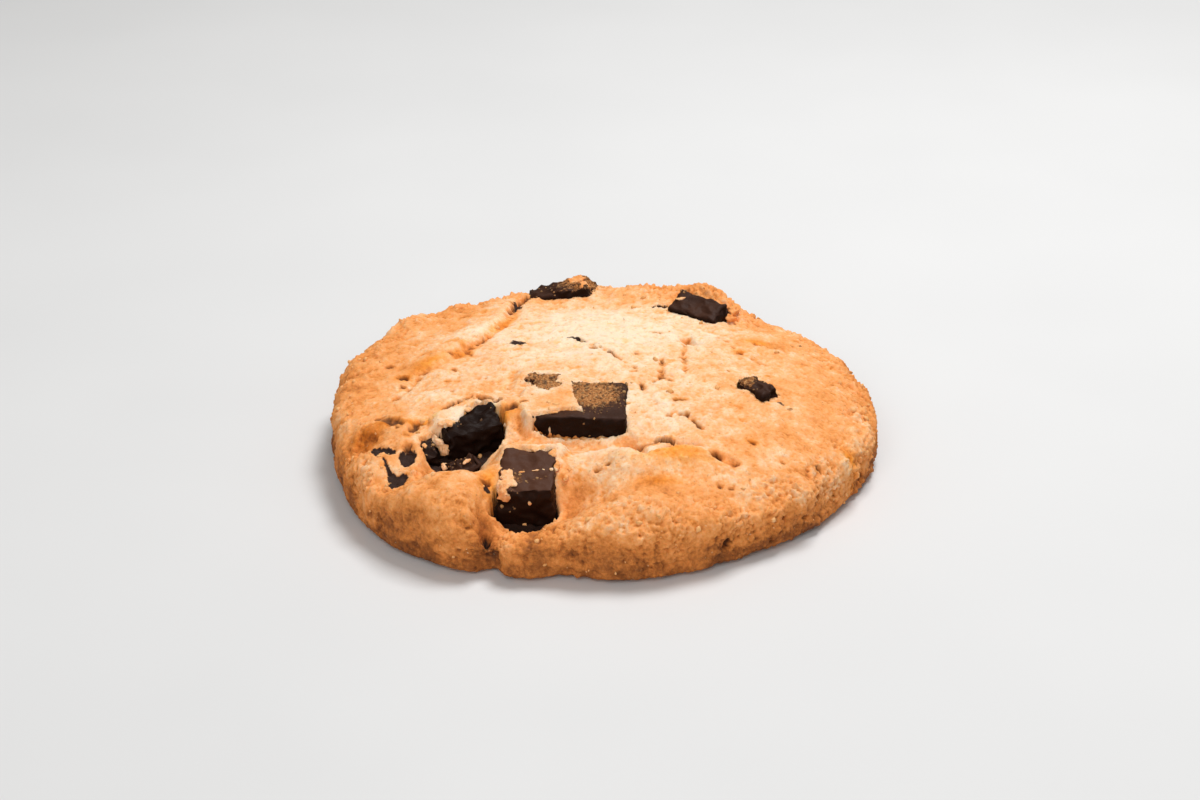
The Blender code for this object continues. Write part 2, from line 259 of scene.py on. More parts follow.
# Chocolate chunks: centre, size, turns about X, Y and Z in degrees, share of the size left at the top.
CHUNKS = {
    "chunk_centre": ((-3.5, -8.9, 10.2), (13.2, 10.6, 4.8), (3, 1, -2), (0.98, 0.98)),
    "chunk_front": ((-10.1, -24.3, 6.9), (7.9, 9.2, 6.4), (12, -2, -4), (0.93, 0.96)),
    "chunk_left": ((-18.2, -12.7, 9.1), (8.2, 6.0, 5.0), (12, -6, 21), (0.95, 0.85)),
    "chunk_left_lower": ((-18.9, -19.6, 6.8), (4.6, 3.2, 3.6), (24, -6, 24), (0.9, 0.9)),
    "chunk_left_edge": ((-23.7, -16.2, 7.2), (2.4, 4.2, 3.6), (16, -8, 18), (0.9, 0.9)),
    "chunk_far_left": ((-27.8, -20.6, 6.3), (5.2, 6.6, 3.6), (14, -10, -8), (0.95, 0.95)),
    "chunk_back_left": ((-6.5, 34.0, 8.7), (13.8, 5.4, 5.4), (6, -13, -4), (0.66, 0.8)),
    "chunk_back_right": ((14.1, 25.4, 9.8), (8.6, 4.8, 4.8), (20, 4, -33), (0.95, 0.9)),
    "chunk_right": ((21.0, -4.0, 11.0), (6.2, 3.5, 3.0), (4, 2, -50), (0.9, 0.8)),
    "chunk_flat": ((-8.6, -1.75, 11.6), (5.6, 2.4, 2.2), (2, 0, -8), (0.85, 0.85)),
}
CHUNK_BEVEL = 0.35
CHUNK_CUTS = 22
CHIPPING = 0.6
EDGE_WIDTH = 0.45
SCOOP_SIZE = 1.7
SCOOP_DEPTH = 0.4
CHUNK_GRAIN = 0.07

# Waves of the chunks' faces: height and length.
CHUNK_WAVES = ((0.24, 3.0), (0.10, 1.2))

# How far the top of a chunk slants down to its left end, in millimetres.
SLANTS = {"chunk_back_left": 1.9}

# How worn each chunk is, and how strongly a pale bloom and painted top light lighten what faces up.
WEAR_BLOOM_AND_TOP_LIGHT = {
    "chunk_centre": (0.9, 0.8),
    "chunk_front": (1.3, 1.3),
    "chunk_left": (2.3, 0.15),
    "chunk_left_lower": (2.2, 0.75),
    "chunk_left_edge": (2.0, 0.4),
    "chunk_far_left": (1.6, 0.75),
    "chunk_back_left": (1.6, 0.75),
    "chunk_back_right": (1.1, 0.75),
    "chunk_right": (1.8, 0.75),
    "chunk_flat": (1.2, 0.9),
}

# Dough that laps over a chunk's top: its thickness over the chocolate and its outline.
LAPS = {
    "chunk_centre": (
        (0.85, (
            (-10.8, -6.4), (-9.6, -5.6), (-7.9, -6.4), (-6.6, -5.6), (-5.8, -4.2), (-5.4, -2.6),
            (-4.4, -2.4), (-4.5, -7.0), (-3.9, -9.9), (-3.0, -12.6), (-4.5, -12.0), (-6.1, -12.2),
            (-8.1, -13.3), (-10.0, -13.7), (-10.8, -11.0),
        )),
    ),
    "chunk_left": (
        (0.25, (
            (-22.3, -13.4), (-21.4, -14.3), (-20.7, -13.9), (-19.8, -13.5), (-19.4, -12.3),
            (-19.0, -11.2), (-18.6, -9.8), (-18.5, -7.6), (-19.9, -7.2), (-21.6, -8.6), (-22.8, -10.8),
        )),
        (0.2, (
            (-17.3, -8.9), (-16.5, -10.3), (-15.6, -10.3), (-15.0, -11.2), (-13.6, -10.6),
            (-14.6, -8.4), (-16.6, -7.4),
        )),
    ),
    "chunk_front": (
        (0.25, (
            (-13.2, -18.4), (-13.0, -20.8), (-11.4, -19.7), (-9.8, -20.1), (-8.6, -20.7), (-7.4, -20.2),
            (-6.3, -21.2), (-5.4, -18.8),
        )),
    ),
    "chunk_far_left": (
        (0.35, (
            (-32.5, -16.0), (-23.5, -15.5), (-23.5, -26.0), (-32.5, -26.0),
        )),
    ),
    "chunk_flat": (
        (0.12, (
            (-12.4, -2.4), (-11.6, 0.6), (-5.4, 0.8), (-5.4, -1.6), (-7.6, -0.7), (-10.0, -0.6),
            (-11.3, -1.6),
        )),
    ),
}
LAP_RUNOUT = 1.9
LAP_SMOOTHNESS = 0.65
LAP_PRESS = 0.4
CLEAR_INSIDE = 0.25
CLEAR_DEPTH = 1.6

# Broken hollows around the chunks: height of the floor or depth below the crust, chocolate stain (painted
# shade on the floors by chunk_left and chunk_front), outline.
HOLLOWS = (
    # Around chunk_left: the dark floor is partly chocolate smear and partly painted shade.
    ("floor", 7.0, 0.95, (
        (-21.4, -14.4), (-19.8, -13.6), (-19.0, -11.3), (-18.5, -7.7), (-17.7, -6.9), (-16.9, -8.4),
        (-15.1, -10.3), (-13.6, -11.8), (-13.2, -13.4), (-13.3, -15.0), (-14.0, -16.6), (-15.0, -18.0),
        (-16.4, -19.2), (-16.9, -22.0), (-19.0, -23.2), (-21.0, -22.8), (-22.6, -20.6), (-24.0, -19.2),
        (-25.0, -17.2), (-24.8, -15.5), (-23.2, -14.2),
    )),
    ("depth", 0.5, 1.0, (
        (-32.2, -15.2), (-31.1, -15.6), (-30.4, -15.6), (-29.8, -16.1), (-28.9, -16.7), (-27.8, -17.7),
        (-27.8, -18.7), (-28.4, -19.2), (-29.0, -18.9), (-29.7, -18.1), (-30.1, -18.2), (-30.2, -18.9),
        (-30.6, -19.6), (-31.0, -18.6),
    )),
    ("depth", 0.6, 1.0, (
        (-27.6, -18.4), (-26.6, -17.7), (-25.2, -18.0), (-25.0, -19.0), (-25.2, -20.9), (-25.8, -21.6),
        (-26.7, -21.3), (-27.4, -20.9), (-27.7, -19.8),
    )),
    ("depth", 0.55, 1.0, (
        (-29.8, -18.4), (-29.1, -19.6), (-28.4, -21.3), (-27.8, -22.2), (-27.3, -22.4), (-26.1, -22.4),
        (-25.8, -23.6), (-26.4, -24.9), (-27.8, -25.5), (-28.6, -24.8), (-28.9, -23.2), (-29.1, -22.1),
        (-29.5, -21.0), (-29.8, -19.7),
    )),
    # In front of chunk_front: the dark floor is painted shadow.
    ("floor", 3.3, 0.9, (
        (-14.6, -27.0), (-13.0, -26.5), (-6.6, -26.5), (-5.7, -28.4), (-6.2, -30.0), (-8.4, -30.5),
        (-10.5, -30.7), (-13.0, -30.9), (-15.2, -31.4), (-15.5, -30.4), (-15.0, -28.8),
    )),
    ("depth", 0.9, 0.95, (
        (6.2, 26.8), (7.6, 27.8), (10.2, 28.4), (11.2, 26.8), (9.0, 26.1),
    )),
    ("floor", 9.4, 0.35, (
        (-10.2, -13.6), (3.0, -13.4), (3.4, -14.9), (-0.7, -15.4), (-6.0, -15.2), (-10.0, -15.0),
    )),
    ("depth", 1.8, 0.9, (
        (-16.0, -33.2), (-15.3, -32.6), (-14.5, -33.5), (-14.6, -34.5), (-15.5, -34.9), (-16.1, -34.3),
    )),
    ("depth", 0.5, 0.0, (
        (-34.6, -14.6), (-33.6, -12.6), (-31.9, -12.4), (-30.4, -13.2), (-30.8, -14.6), (-32.6, -15.4),
    )),
)
HOLLOW_WALL = 0.5

# Chocolate bits and smears in the crust: x, y, half length, half width, turn, how thickly they cover.
STAINS = (
    (-12.5, 11.6, 1.25, 0.75, 0, 0.8),
    (-13.1, 28.8, 0.6, 1.5, 22, 0.8),
    (-4.4, 12.7, 1.2, 0.4, -28, 0.85),
    (-3.2, 11.4, 0.9, 0.45, -50, 0.8),
    (-1.2, 9.6, 0.8, 0.3, -30, 0.6),
    (7.7, 15.3, 1.0, 0.45, -18, 0.6),
    (24.2, -6.9, 0.9, 0.4, -40, 0.75),
    (25.4, -8.1, 0.6, 0.35, -20, 0.65),
    (-15.4, -28.0, 0.6, 0.5, 0, 0.9),
    (0.7, 6.5, 0.4, 0.35, 0, 0.65),
    (12.0, 12.4, 0.6, 0.4, 30, 0.7),
    (29.0, 16.0, 0.8, 0.5, 20, 0.65),
    (27.2, 15.3, 0.5, 0.3, 0, 0.55),
)

# Dabs of dough stuck to the chocolate: chunk, place on its top (in the cookie without a chunk), half sizes,
# turn, browning.
DABS = (
    ("chunk_front", (-2.3, -1.9, 0.05), (0.9, 1.7, 0.34), 16, 0.34),
    ("chunk_front", (-2.9, -3.6, -0.2), (0.75, 1.1, 0.8), 0, 0.36),
    ("chunk_front", (-2.7, -4.6, -0.8), (0.8, 0.4, 0.8), 6, 0.4),
    ("chunk_front", (-1.5, -3.0, 0.05), (0.5, 0.5, 0.2), 0, 0.3),
    ("chunk_front", (-0.3, -0.6, 0.02), (0.8, 0.2, 0.12), 10, 0.45),
    ("chunk_front", (1.2, -0.3, 0.02), (0.7, 0.17, 0.1), 4, 0.4),
    ("chunk_front", (2.1, -0.2, 0.02), (0.35, 0.2, 0.14), -5, 0.2),
    ("chunk_front", (3.2, -0.1, 0.02), (0.3, 0.26, 0.18), 0, 0.15),
    ("chunk_front", (0.6, -4.6, -1.9), (0.25, 0.2, 0.4), 20, 0.3),
    ("chunk_left", (-2.8, 0.6, 0.05), (0.7, 0.8, 0.25), 20, 0.3),
    ("chunk_left", (0.6, 2.2, 0.05), (0.6, 0.4, 0.2), -35, 0.35),
    ("chunk_left_lower", (0.4, 0.2, 0.05), (0.7, 0.3, 0.15), 15, 0.42),
    ("chunk_left_edge", (-0.2, 0.9, 0.05), (0.4, 0.8, 0.2), 0, 0.4),
    ("chunk_centre", (-3.6, -4.0, 0.05), (0.9, 0.3, 0.15), 5, 0.4),
    ("chunk_back_left", (3.0, 0.9, 0.05), (1.3, 1.0, 0.3), 10, 0.5),
    ("chunk_back_left", (3.9, -0.6, -0.5), (0.8, 1.2, 0.5), 0, 0.5),
    ("chunk_back_right", (-3.1, 0.2, 0.05), (0.8, 0.3, 0.16), 30, 0.35),
    (None, (-5.2, -20.4, 10.1), (0.9, 0.5, 0.4), -20, 0.3),
    (None, (-5.2, -21.9, 9.9), (0.6, 0.6, 0.5), 0, 0.42),
    (None, (-4.7, -23.4, 9.4), (0.5, 0.8, 0.5), 10, 0.45),
    (None, (-5.2, -25.2, 8.7), (0.45, 0.6, 0.5), 0, 0.42),
    (None, (-22.6, -15.2, 9.2), (1.2, 0.5, 0.7), -38, 0.27),
    (None, (-21.6, -16.2, 8.5), (0.9, 0.5, 0.8), -50, 0.3),
    (None, (-22.0, -14.0, 11.3), (0.65, 0.5, 0.35), 10, 0.22),
    (None, (-21.5, -19.3, 7.4), (0.45, 0.9, 0.5), 10, 0.2),
    (None, (-28.8, -20.3, 8.4), (0.2, 1.4, 0.22), 20, 0.3),
    ("chunk_front", (0.8, 4.3, 0.0), (0.8, 0.5, 0.22), 10, 0.3),
    ("chunk_front", (3.3, 3.5, 0.0), (0.5, 0.9, 0.28), -15, 0.34),
    ("chunk_front", (3.9, 1.2, -0.4), (0.4, 1.0, 0.5), 5, 0.42),
    (None, (19.0, 26.4, 10.2), (1.1, 1.5, 0.8), -30, 0.5),
    (None, (18.7, 24.2, 10.0), (0.9, 0.8, 0.7), 10, 0.52),
    (None, (-12.2, -12.5, 10.3), (1.2, 0.7, 0.7), 15, 0.14),
    (None, (-10.9, -13.5, 9.8), (0.9, 0.6, 0.7), -10, 0.2),
    (None, (-12.9, -13.9, 9.5), (0.7, 0.5, 0.5), 30, 0.24),
)
DAB_VOXEL = 0.11

# How brown the crust is, from 0 to 1: in the middle, and how much browner at the edge, side and foot, and how
# much painted shade darkens the splits.
MIDDLE_BROWNING = 0.30
EDGE_BROWNING = 0.29
SIDE_BROWNING = 0.26
FOOT_BROWNING = 0.36
CRACK_SHADE = 0.17
GROOVE_SHADE = 0.16
UNDERSIDE_BROWNING = 0.76
UNDERSIDE_TOP = 0.4

# Where the crust is browner (positive) or paler, mostly its own tone and in a few places painted shade and
# painted light: x, y, half length, half width, turn, amount.
BROWN_AND_PAINTED_LIGHT_SPOTS = (
    (0.0, 16.0, 17.0, 13.0, 0, -0.36),
    (7.5, -9.5, 7.0, 5.0, -20, -0.20),
    (9.6, -13.7, 2.8, 1.6, -10, -0.14),
    # Partly its own paler tone, partly painted light where the plateau's slope turns away from the lamp.
    (3.0, -20.0, 9.0, 4.0, 0, -0.20),
    (16.0, -25.0, 8.0, 4.0, -10, -0.10),
    (-21.0, -13.0, 4.5, 3.5, 30, -0.14),
    (-31.5, -23.5, 3.0, 4.5, -15, -0.20),
    (-19.0, 22.0, 5.0, 11.0, 35, 0.09),
    (8.0, 7.0, 6.0, 6.0, 0, 0.05),
    (2.0, -38.0, 9.0, 3.0, 0, -0.07),
    (-20.5, 15.5, 8.0, 1.8, 40, -0.16),
    (2.5, -25.5, 5.5, 3.0, 0, -0.12),
    (-25.0, -4.5, 4.5, 4.0, 0, -0.16),
    (-1.5, -29.0, 3.5, 2.5, 0, -0.10),
    (25.0, -4.0, 12.0, 13.0, 0, 0.05),
    (14.0, 31.0, 8.0, 2.5, -25, 0.14),
    # Painted light: the right rim is paled where the lamp falls on it, here and in the next spot.
    (36.1, -7.5, 1.8, 4.5, -15, -0.28),
    (34.0, -18.0, 3.0, 6.0, -30, -0.34),
    (-32.4, -13.3, 2.0, 1.4, 10, 0.32),
    (-29.8, -11.4, 1.8, 0.9, 0, 0.22),
    (-25.0, -11.9, 2.3, 0.8, 10, 0.22),
    (-24.0, -1.5, 2.4, 1.0, 30, 0.12),
    (-28.4, 2.5, 1.1, 0.9, 0, 0.32),
    (-25.3, 5.5, 2.8, 1.2, 35, 0.2),
    (-20.4, 9.3, 1.6, 1.0, 40, 0.28),
    (-35.0, 0.9, 2.4, 1.2, 0, 0.16),
    (-15.0, 20.5, 3.5, 0.6, 62, 0.2),
    (9.3, -23.2, 4.8, 1.8, 5, 0.26),
    (7.0, -28.4, 2.4, 0.8, 4, 0.26),
    (10.5, -28.0, 4.0, 0.9, 4, 0.14),
    # Painted shade on the basin wall right of chunk_front.
    (-5.0, -28.8, 1.6, 2.8, 0, 0.14),
    (29.0, -24.8, 5.0, 4.0, 0, -0.10),
    # Painted shade on the basin wall right of chunk_front, here and in the next spot.
    (-2.7, -25.9, 1.5, 1.0, 0, 0.18),
    (-4.0, -27.2, 1.7, 3.2, -10, 0.15),
    # Painted shade in the crevice in front of the right end of chunk_centre.
    (3.8, -16.0, 2.4, 1.1, -25, 0.19),
    (6.5, -14.0, 1.6, 1.1, 0, 0.12),
    (5.6, -18.4, 2.2, 0.9, 0, 0.12),
    (5.0, -30.5, 9.0, 1.6, 2, 0.16),
    (15.0, -15.0, 8.0, 4.0, -20, 0.06),
    (-14.2, -12.3, 2.5, 1.2, 20, 0.2),
    (-5.2, -9.0, 1.7, 3.6, 10, 0.19),
    (-15.3, -26.5, 1.2, 3.0, 0, 0.22),
    (11.4, -6.0, 1.6, 1.0, 20, 0.12),
    (10.3, -7.9, 1.2, 0.7, 0, 0.26),
    (12.9, -10.7, 2.6, 1.6, 0, 0.08),
    (19.3, 9.5, 0.9, 0.5, 0, 0.28),
    (22.3, 13.7, 2.4, 1.0, 10, 0.2),
    (25.5, 13.6, 1.1, 0.8, 0, 0.16),
    (28.0, 8.6, 0.9, 1.3, -20, 0.18),
    (33.0, -15.1, 1.2, 1.2, 0, 0.2),
    (19.8, -17.5, 0.9, 0.6, 0, 0.2),
    (-33.0, 2.0, 8.0, 16.0, 0, 0.06),
)

# Spots at least this much browner are golden as well.
GOLDEN_FROM = 0.2

# The same on the side: angle from +X, height, half width and half height in millimetres, amount.
SIDE_BROWN_SPOTS = (
    (-104.2, 4.4, 1.8, 2.4, 0.24),
    (-109.0, 5.0, 2.2, 2.4, -0.14),
    (-93.0, 4.4, 4.5, 1.8, 0.13),
    (-88.0, 1.4, 6.5, 0.9, 0.22),
    (-83.0, 6.2, 2.2, 1.0, -0.22),
    (-57.0, 4.5, 5.0, 2.2, -0.12),
    (-124.0, 3.4, 5.0, 2.0, -0.10),
    (-55.0, 1.8, 6.0, 1.4, 0.10),
    (-33.0, 4.6, 5.0, 1.6, -0.12),
    (-8.0, 2.6, 6.0, 1.8, 0.14),
    (34.0, 3.5, 7.0, 2.0, 0.14),
    (52.0, 6.0, 4.0, 1.5, -0.12),
    (80.0, 3.6, 8.0, 2.2, 0.12),
    (121.0, 2.8, 6.0, 2.0, 0.16),
    (140.0, 6.0, 5.0, 1.6, -0.12),
    (166.0, 3.6, 8.0, 2.0, 0.12),
    (-152.0, 3.0, 6.0, 1.8, 0.10),
)

DOUGH_RELIEF = {
    "Lump Size": 1.5,
    "Lump Height": 0.29,
    "Grain Size": 0.52,
    "Grain Height": 0.34,
    "Pore Spacing": 3.4,
    "Pore Radius": 0.32,
    "Pore Depth": 0.45,
    "Pore Share": 0.35,
    "Crumb Size": 1.05,
    "Crumb Height": 0.64,
    "Hollow Reach": 12,
    "Seed": 3.0,
}

# Grains stand out by crumbliness times the first number plus the second.
CRUMBLY_GRAINS = (1.4, 0.55)

# The relief's crumbs: their half width, the depth between them, and how the chance of each is stretched.
CRUMB_EDGE = 0.55
CRUMB_GAP = -0.1
CRUMB_CHOICE = (3.0, -1.1)

# Smooth and rugged places of the rim, and clean and heaped ones: x, y, half length, half width, turn, amount.
SMOOTH_PLACES = ((-24.0, -31.0, 8.0, 7.0, 20, 0.8), (-36.0, 4.0, 9.0, 24.0, 0, 0.7))
RUGGED_PLACE = (16.0, 30.0, 7.5, 4.0, -28, 0.9)
CLEAN_PLACE = (-24.0, -31.0, 9.0, 7.0, 20, 0.85)
HEAPS = ((16.0, 30.0, 8.0, 3.0, -28, 0.8), (1.5, 33.0, 3.0, 3.0, 0, 0.5))

# Loose crumbs. Most are small: their size follows a chance to this power.
MOSTLY_SMALL = 2.2
CRUMB_FLATNESS = 0.7
DOUGH_CRUMBS = {"Crumbs per Square Metre": 450000.0, "Smallest": 0.22, "Largest": 1.0, "Seed": 4}
CHOCOLATE_CRUMBS = {"Crumbs per Square Metre": 2400000.0, "Smallest": 0.2, "Largest": 0.6, "Seed": 9}

# How the crust colours from pale to dark, and how painted shade in its hollows, painted highlights on its
# ridges and its spots change that.
CRUST_COLOURS = (
    (0.00, (0.89, 0.70, 0.50)),
    (0.17, (0.88, 0.555, 0.315)),
    (0.33, (0.87, 0.405, 0.155)),
    (0.47, (0.82, 0.315, 0.085)),
    (0.62, (0.64, 0.215, 0.044)),
    (0.80, (0.33, 0.100, 0.019)),
    (1.00, (0.10, 0.030, 0.009)),
)
BROWNING_SCALE = 0.80
# How far painted shade darkens the hollows and a painted highlight pales the ridges.
HOLLOW_SHADE = 1.8
RIDGE_HIGHLIGHT = 0.8
SHARPEST_RIDGE = 0.14
TOASTED_SPOTS = 0.24
TOASTED_GOLD = 1.6
GREY_PATCHES = 0.32
EVEN_WHERE_PALE = (2.0, 0.42)
SMEAR_AND_SHADE_EDGE = (2.5, -0.6)

# Colours laid over the crust.
GREY_TINT = (0.82, 0.82, 0.93, 1.0)
GOLDEN_TINT = (1.0, 0.83, 0.30, 1.0)
SPECK_COLOUR = (0.34, 0.13, 0.04, 1.0)
POINT_COLOUR = (0.42, 0.18, 0.06, 1.0)
# Painted shade deep inside the cracks and pits.
CRACK_AND_PIT_SHADE_COLOUR = (0.095, 0.035, 0.012, 1.0)
SUGAR_COLOUR = (0.95, 0.74, 0.45, 1.0)
# Chocolate smear, also laid as painted shade on two sunken floors.
SMEAR_AND_SHADE_COLOUR = (0.032, 0.013, 0.008, 1.0)

# Patterns: size in millimetres, detail, roughness, seed, gain, lift, and whether they are kept from 0 to 1.
CRUST_PATTERNS = (
    (4.2, 3.0, 0.6, 1.0, 0.80, -0.40),
    (1.4, 2.0, 0.6, 2.0, 0.52, -0.26),
    (0.36, 2.0, 0.7, 3.0, 0.48, -0.24),
)
TOASTED_PATTERN = (1.9, 2.0, 0.5, 21.0, 8.0, -4.9, True)
GREY_PATTERN = (2.8, 3.0, 0.6, 17.0, 6.0, -3.3, True)
SPECK_PATTERN = (0.5, 1.0, 0.5, 7.0, 12.0, -8.6, True)
POINT_PATTERN = (0.3, 0.0, 0.5, 19.0, 14.0, -10.0, True)
SUGAR_PATTERN = (0.42, 1.0, 0.5, 11.0, 9.0, -6.5, True)
SMEAR_AND_SHADE_PATTERN = (0.7, 2.0, 0.6, 13.0, 0.9, -0.45)
CRUST_ROUGHNESS = (1.1, 2.0, 0.6, 5.0, -0.25, 0.93)
BLOOM_PATTERN = (3.0, 3.0, 0.6, 1.0)
DUST_PATTERN = (0.45, 3.0, 0.7, 2.0)
CHOCOLATE_ROUGHNESS = (1.2, 3.0, 0.6, 4.0, 0.30, 0.38)

# The chocolate from its darkest sides to its palest tops: its bloom, and painted top light.
BLOOM_AND_TOP_LIGHT_COLOURS = (
    (0.14, (0.012, 0.0042, 0.0021)),
    (0.55, (0.040, 0.0150, 0.0080)),
    (0.80, (0.080, 0.032, 0.0180)),
)
DUST_COLOURS = ((0.3, (0.16, 0.062, 0.018)), (0.5, (0.44, 0.178, 0.058)), (0.7, (0.76, 0.41, 0.165)))
FLOOR_COLOURS = ((0.0, (0.655, 0.66, 0.665)), (1.0, (0.715, 0.72, 0.725)))
DOUGH_CRUMB_COLOURS = (
    (0.30, (0.66, 0.28, 0.07)),
    (0.46, (0.82, 0.42, 0.15)),
    (0.62, (0.84, 0.44, 0.17)),
    (0.80, (0.88, 0.57, 0.29)),
)
CHOCOLATE_CRUMB_COLOURS = (
    (0.32, (0.10, 0.045, 0.018)),
    (0.50, (0.27, 0.13, 0.048)),
    (0.66, (0.52, 0.29, 0.11)),
    (0.80, (0.80, 0.52, 0.25)),
)

# Crumb dust on each chunk: x, y, half length, half width, turn, amount.
DUSTED = {
    "chunk_centre": (
        (-1.9, -7.4, 3.2, 4.6, 10, 1.3),
        (-7.5, -5.4, 4.0, 3.0, 0, 1.1),
        (1.6, -6.5, 2.0, 3.0, 0, 0.4),
    ),
    "chunk_front": ((-9.6, -27.0, 4.5, 0.8, 4, 0.45), (-12.5, -27.5, 1.4, 3.0, 0, 0.5)),
    "chunk_left": ((-18.2, -11.6, 4.5, 2.2, 20, 0.2),),
    "chunk_left_lower": ((-18.9, -19.6, 3.0, 3.0, 0, 0.35),),
    "chunk_left_edge": ((-24.0, -14.4, 3.0, 3.0, 0, 0.35),),
    "chunk_far_left": ((-28.6, -21.0, 3.0, 4.0, 0, 0.45),),
    "chunk_back_left": ((-4.0, 35.0, 4.0, 4.0, 0, 1.1),),
    "chunk_back_right": ((13.4, 28.0, 3.0, 1.6, -30, 0.6),),
    "chunk_right": ((19.6, -2.4, 2.6, 2.0, -50, 0.9),),
    "chunk_flat": ((-8.9, -1.0, 4.0, 3.0, 0, 1.15),),
}

# Lamps: name, place and size in metres, power in watts.
LAMPS = (("key_softbox", (0.12, 0.16, 0.44), 0.20, 2.0), ("front_fill", (-0.10, -0.50, 0.36), 0.4, 1.65))
ROOM_COLOUR = (1.0, 0.96, 0.90, 1.0)
ROOM_STRENGTH = 0.27

CAMERA_ELEVATION = 25.5
CAMERA_DISTANCE = 0.345
CAMERA_AIM = (-0.00066, -0.0059, 0.011)
CAMERA_LENS = 75.0
SENSOR_WIDTH = 36.0


def spread_from(x, y, at_x, at_y, half_length, half_width, turn):
    """The squared distance from a place, in half lengths along its turned x and half widths along its y."""
    c = math.cos(math.radians(turn))
    s = math.sin(math.radians(turn))
    u = ((x - at_x) * c + (y - at_y) * s) / half_length
    v = ((y - at_y) * c - (x - at_x) * s) / half_width
    return u * u + v * v


def bell(x, y, at_x, at_y, half_length, half_width, turn, height=1.0):
    """A bell-shaped swelling, longer along its turned x than its y."""
    return height * np.exp(-spread_from(x, y, at_x, at_y, half_length, half_width, turn))


def angle_from(angle, at):
    """How far each angle is from another, from -180 to 180 degrees."""
    return (angle - at + 180) % 360 - 180


def lobes(angle, table):
    """The sum of the bell-shaped lobes at each angle, in millimetres."""
    total = np.zeros_like(angle)
    for at, half_width, amount in table:
        total += amount * np.exp(-((angle_from(angle, at) / half_width) ** 2))
    return total


def angle_of(x, y):
    return np.degrees(np.arctan2(y, x))


def beside(x, y, line):
    """Distance from the line, the same with its left side positive, and the share of the way along it."""
    starts = np.array(line[:-1])
    runs = np.diff(np.array(line), axis=0)
    lengths = np.hypot(runs[:, 0], runs[:, 1])
    travelled = np.concatenate([[0.0], np.cumsum(lengths)])
    best = np.full_like(x, np.inf)
    signed = np.zeros_like(x)
    share = np.zeros_like(x)
    for start, run, length, before in zip(starts, runs, lengths, travelled):
        along = np.clip(((x - start[0]) * run[0] + (y - start[1]) * run[1]) / length**2, 0, 1)
        off_x = x - start[0] - along * run[0]
        off_y = y - start[1] - along * run[1]
        away = np.hypot(off_x, off_y)
        nearer = away < best
        best = np.where(nearer, away, best)
        signed = np.where(nearer, np.sign(run[0] * off_y - run[1] * off_x) * away, signed)
        share = np.where(nearer, (before + along * length) / travelled[-1], share)
    return best, signed, share


def near_line(x, y, line, half_width):
    """1 on the line, fading to 0 over the half width on both sides."""
    away, _, _ = beside(x, y, line)
    return np.exp(-((away / half_width) ** 2))


def wobble(x, y, size, seed):
    """A smooth uneven pattern from -1 to 1 whose waves are about the size long."""
    total = np.zeros_like(x)
    for number in range(5):
        heading = seed * 1.7 + number * 2.4
        wave = 2 * math.pi / size * (0.7 + 0.17 * number)
        total += np.sin((x * math.cos(heading) + y * math.sin(heading)) * wave + seed * 5.1 + number * 1.3)
    return total / 5


def ease(share):
    """Smooths a share from 0 to 1 at both ends."""
    share = np.clip(share, 0, 1)
    return share * share * (3 - 2 * share)


def fold(x, y, line, height, reach):
    """A lip on the left side of the line, or on its right side where the height is negative."""
    _, signed, share = beside(x, y, line)
    inward = signed if height > 0 else -signed
    lip = 1 / (1 + np.exp(-np.clip(inward / FOLD_LIP, -30, 30)))
    fading = np.exp(-((np.maximum(inward, 0) / reach) ** 2))
    ends = 1 - np.abs(2 * share - 1) ** 6
    return abs(height) * lip * fading * ends


def ragged(x, y, seed, amount):
    """A small uneven shift of an outline, in millimetres."""
    return amount * (0.7 * wobble(x, y, 1.9, seed) + 0.6 * wobble(x, y, 0.8, seed + 3))


def dents(x, y, widen=0.0):
    """Depth of the cracks and pits, whose walls are steep and ragged, widened by a number of millimetres."""
    coarse, fine = RAGGED_WALLS
    ragged_x = x + (coarse * wobble(x, y, 1.9, 4) + fine * wobble(x, y, 0.8, 2))
    ragged_y = y + (coarse * wobble(x, y, 1.6, 9) + fine * wobble(x, y, 0.9, 6))
    total = np.zeros_like(x)
    for number, (line, half_width, depth) in enumerate(CRACKS):
        away, _, share = beside(ragged_x, ragged_y, line)
        ends = ease((1 - np.abs(2 * share - 1)) / CRACK_ENDS)
        broken = np.clip(0.7 + 0.8 * wobble(x, y, 3.1, number) + 0.6 * wobble(x, y, 1.3, number + 2), 0, 1)
        total = np.maximum(total, depth * ends * broken * np.exp(-((away / (half_width + widen)) ** 4)))
    for *place, half_length, half_width, turn, depth in PITS:
        away = spread_from(ragged_x, ragged_y, *place, half_length + widen, half_width + widen, turn)
        total = np.maximum(total, depth * np.exp(-(away**2)))
    return total


def inside_rim(x, y):
    """1 on the top of the cookie, fading to 0 where its shoulder begins."""
    outline = RADIUS + lobes(angle_of(x, y), OUTLINE_LOBES)
    return ease((TOP_REACH - np.hypot(x, y) / outline) / TOP_FADE)


def turned_by(turns):
    """The rotation by turns about X, Y and Z in degrees."""
    return Euler([math.radians(turn) for turn in turns]).to_matrix()


def over_chunk(x, y, chunk):
    """Height of the chunk's top face, and how far each point is outside that face (negative inside)."""
    centre, size, turns, taper = chunk
    turned = np.array(turned_by(turns))
    up = turned[:, 2]
    middle = np.array(centre) + up * size[2] / 2
    height = middle[2] - (up[0] * (x - middle[0]) + up[1] * (y - middle[1])) / up[2]
    off = np.stack([x - middle[0], y - middle[1], height - middle[2]], axis=-1)
    u = np.abs(off @ turned[:, 0]) - size[0] * taper[0] / 2
    v = np.abs(off @ turned[:, 1]) - size[1] * taper[1] / 2
    return height, np.maximum(u, v)


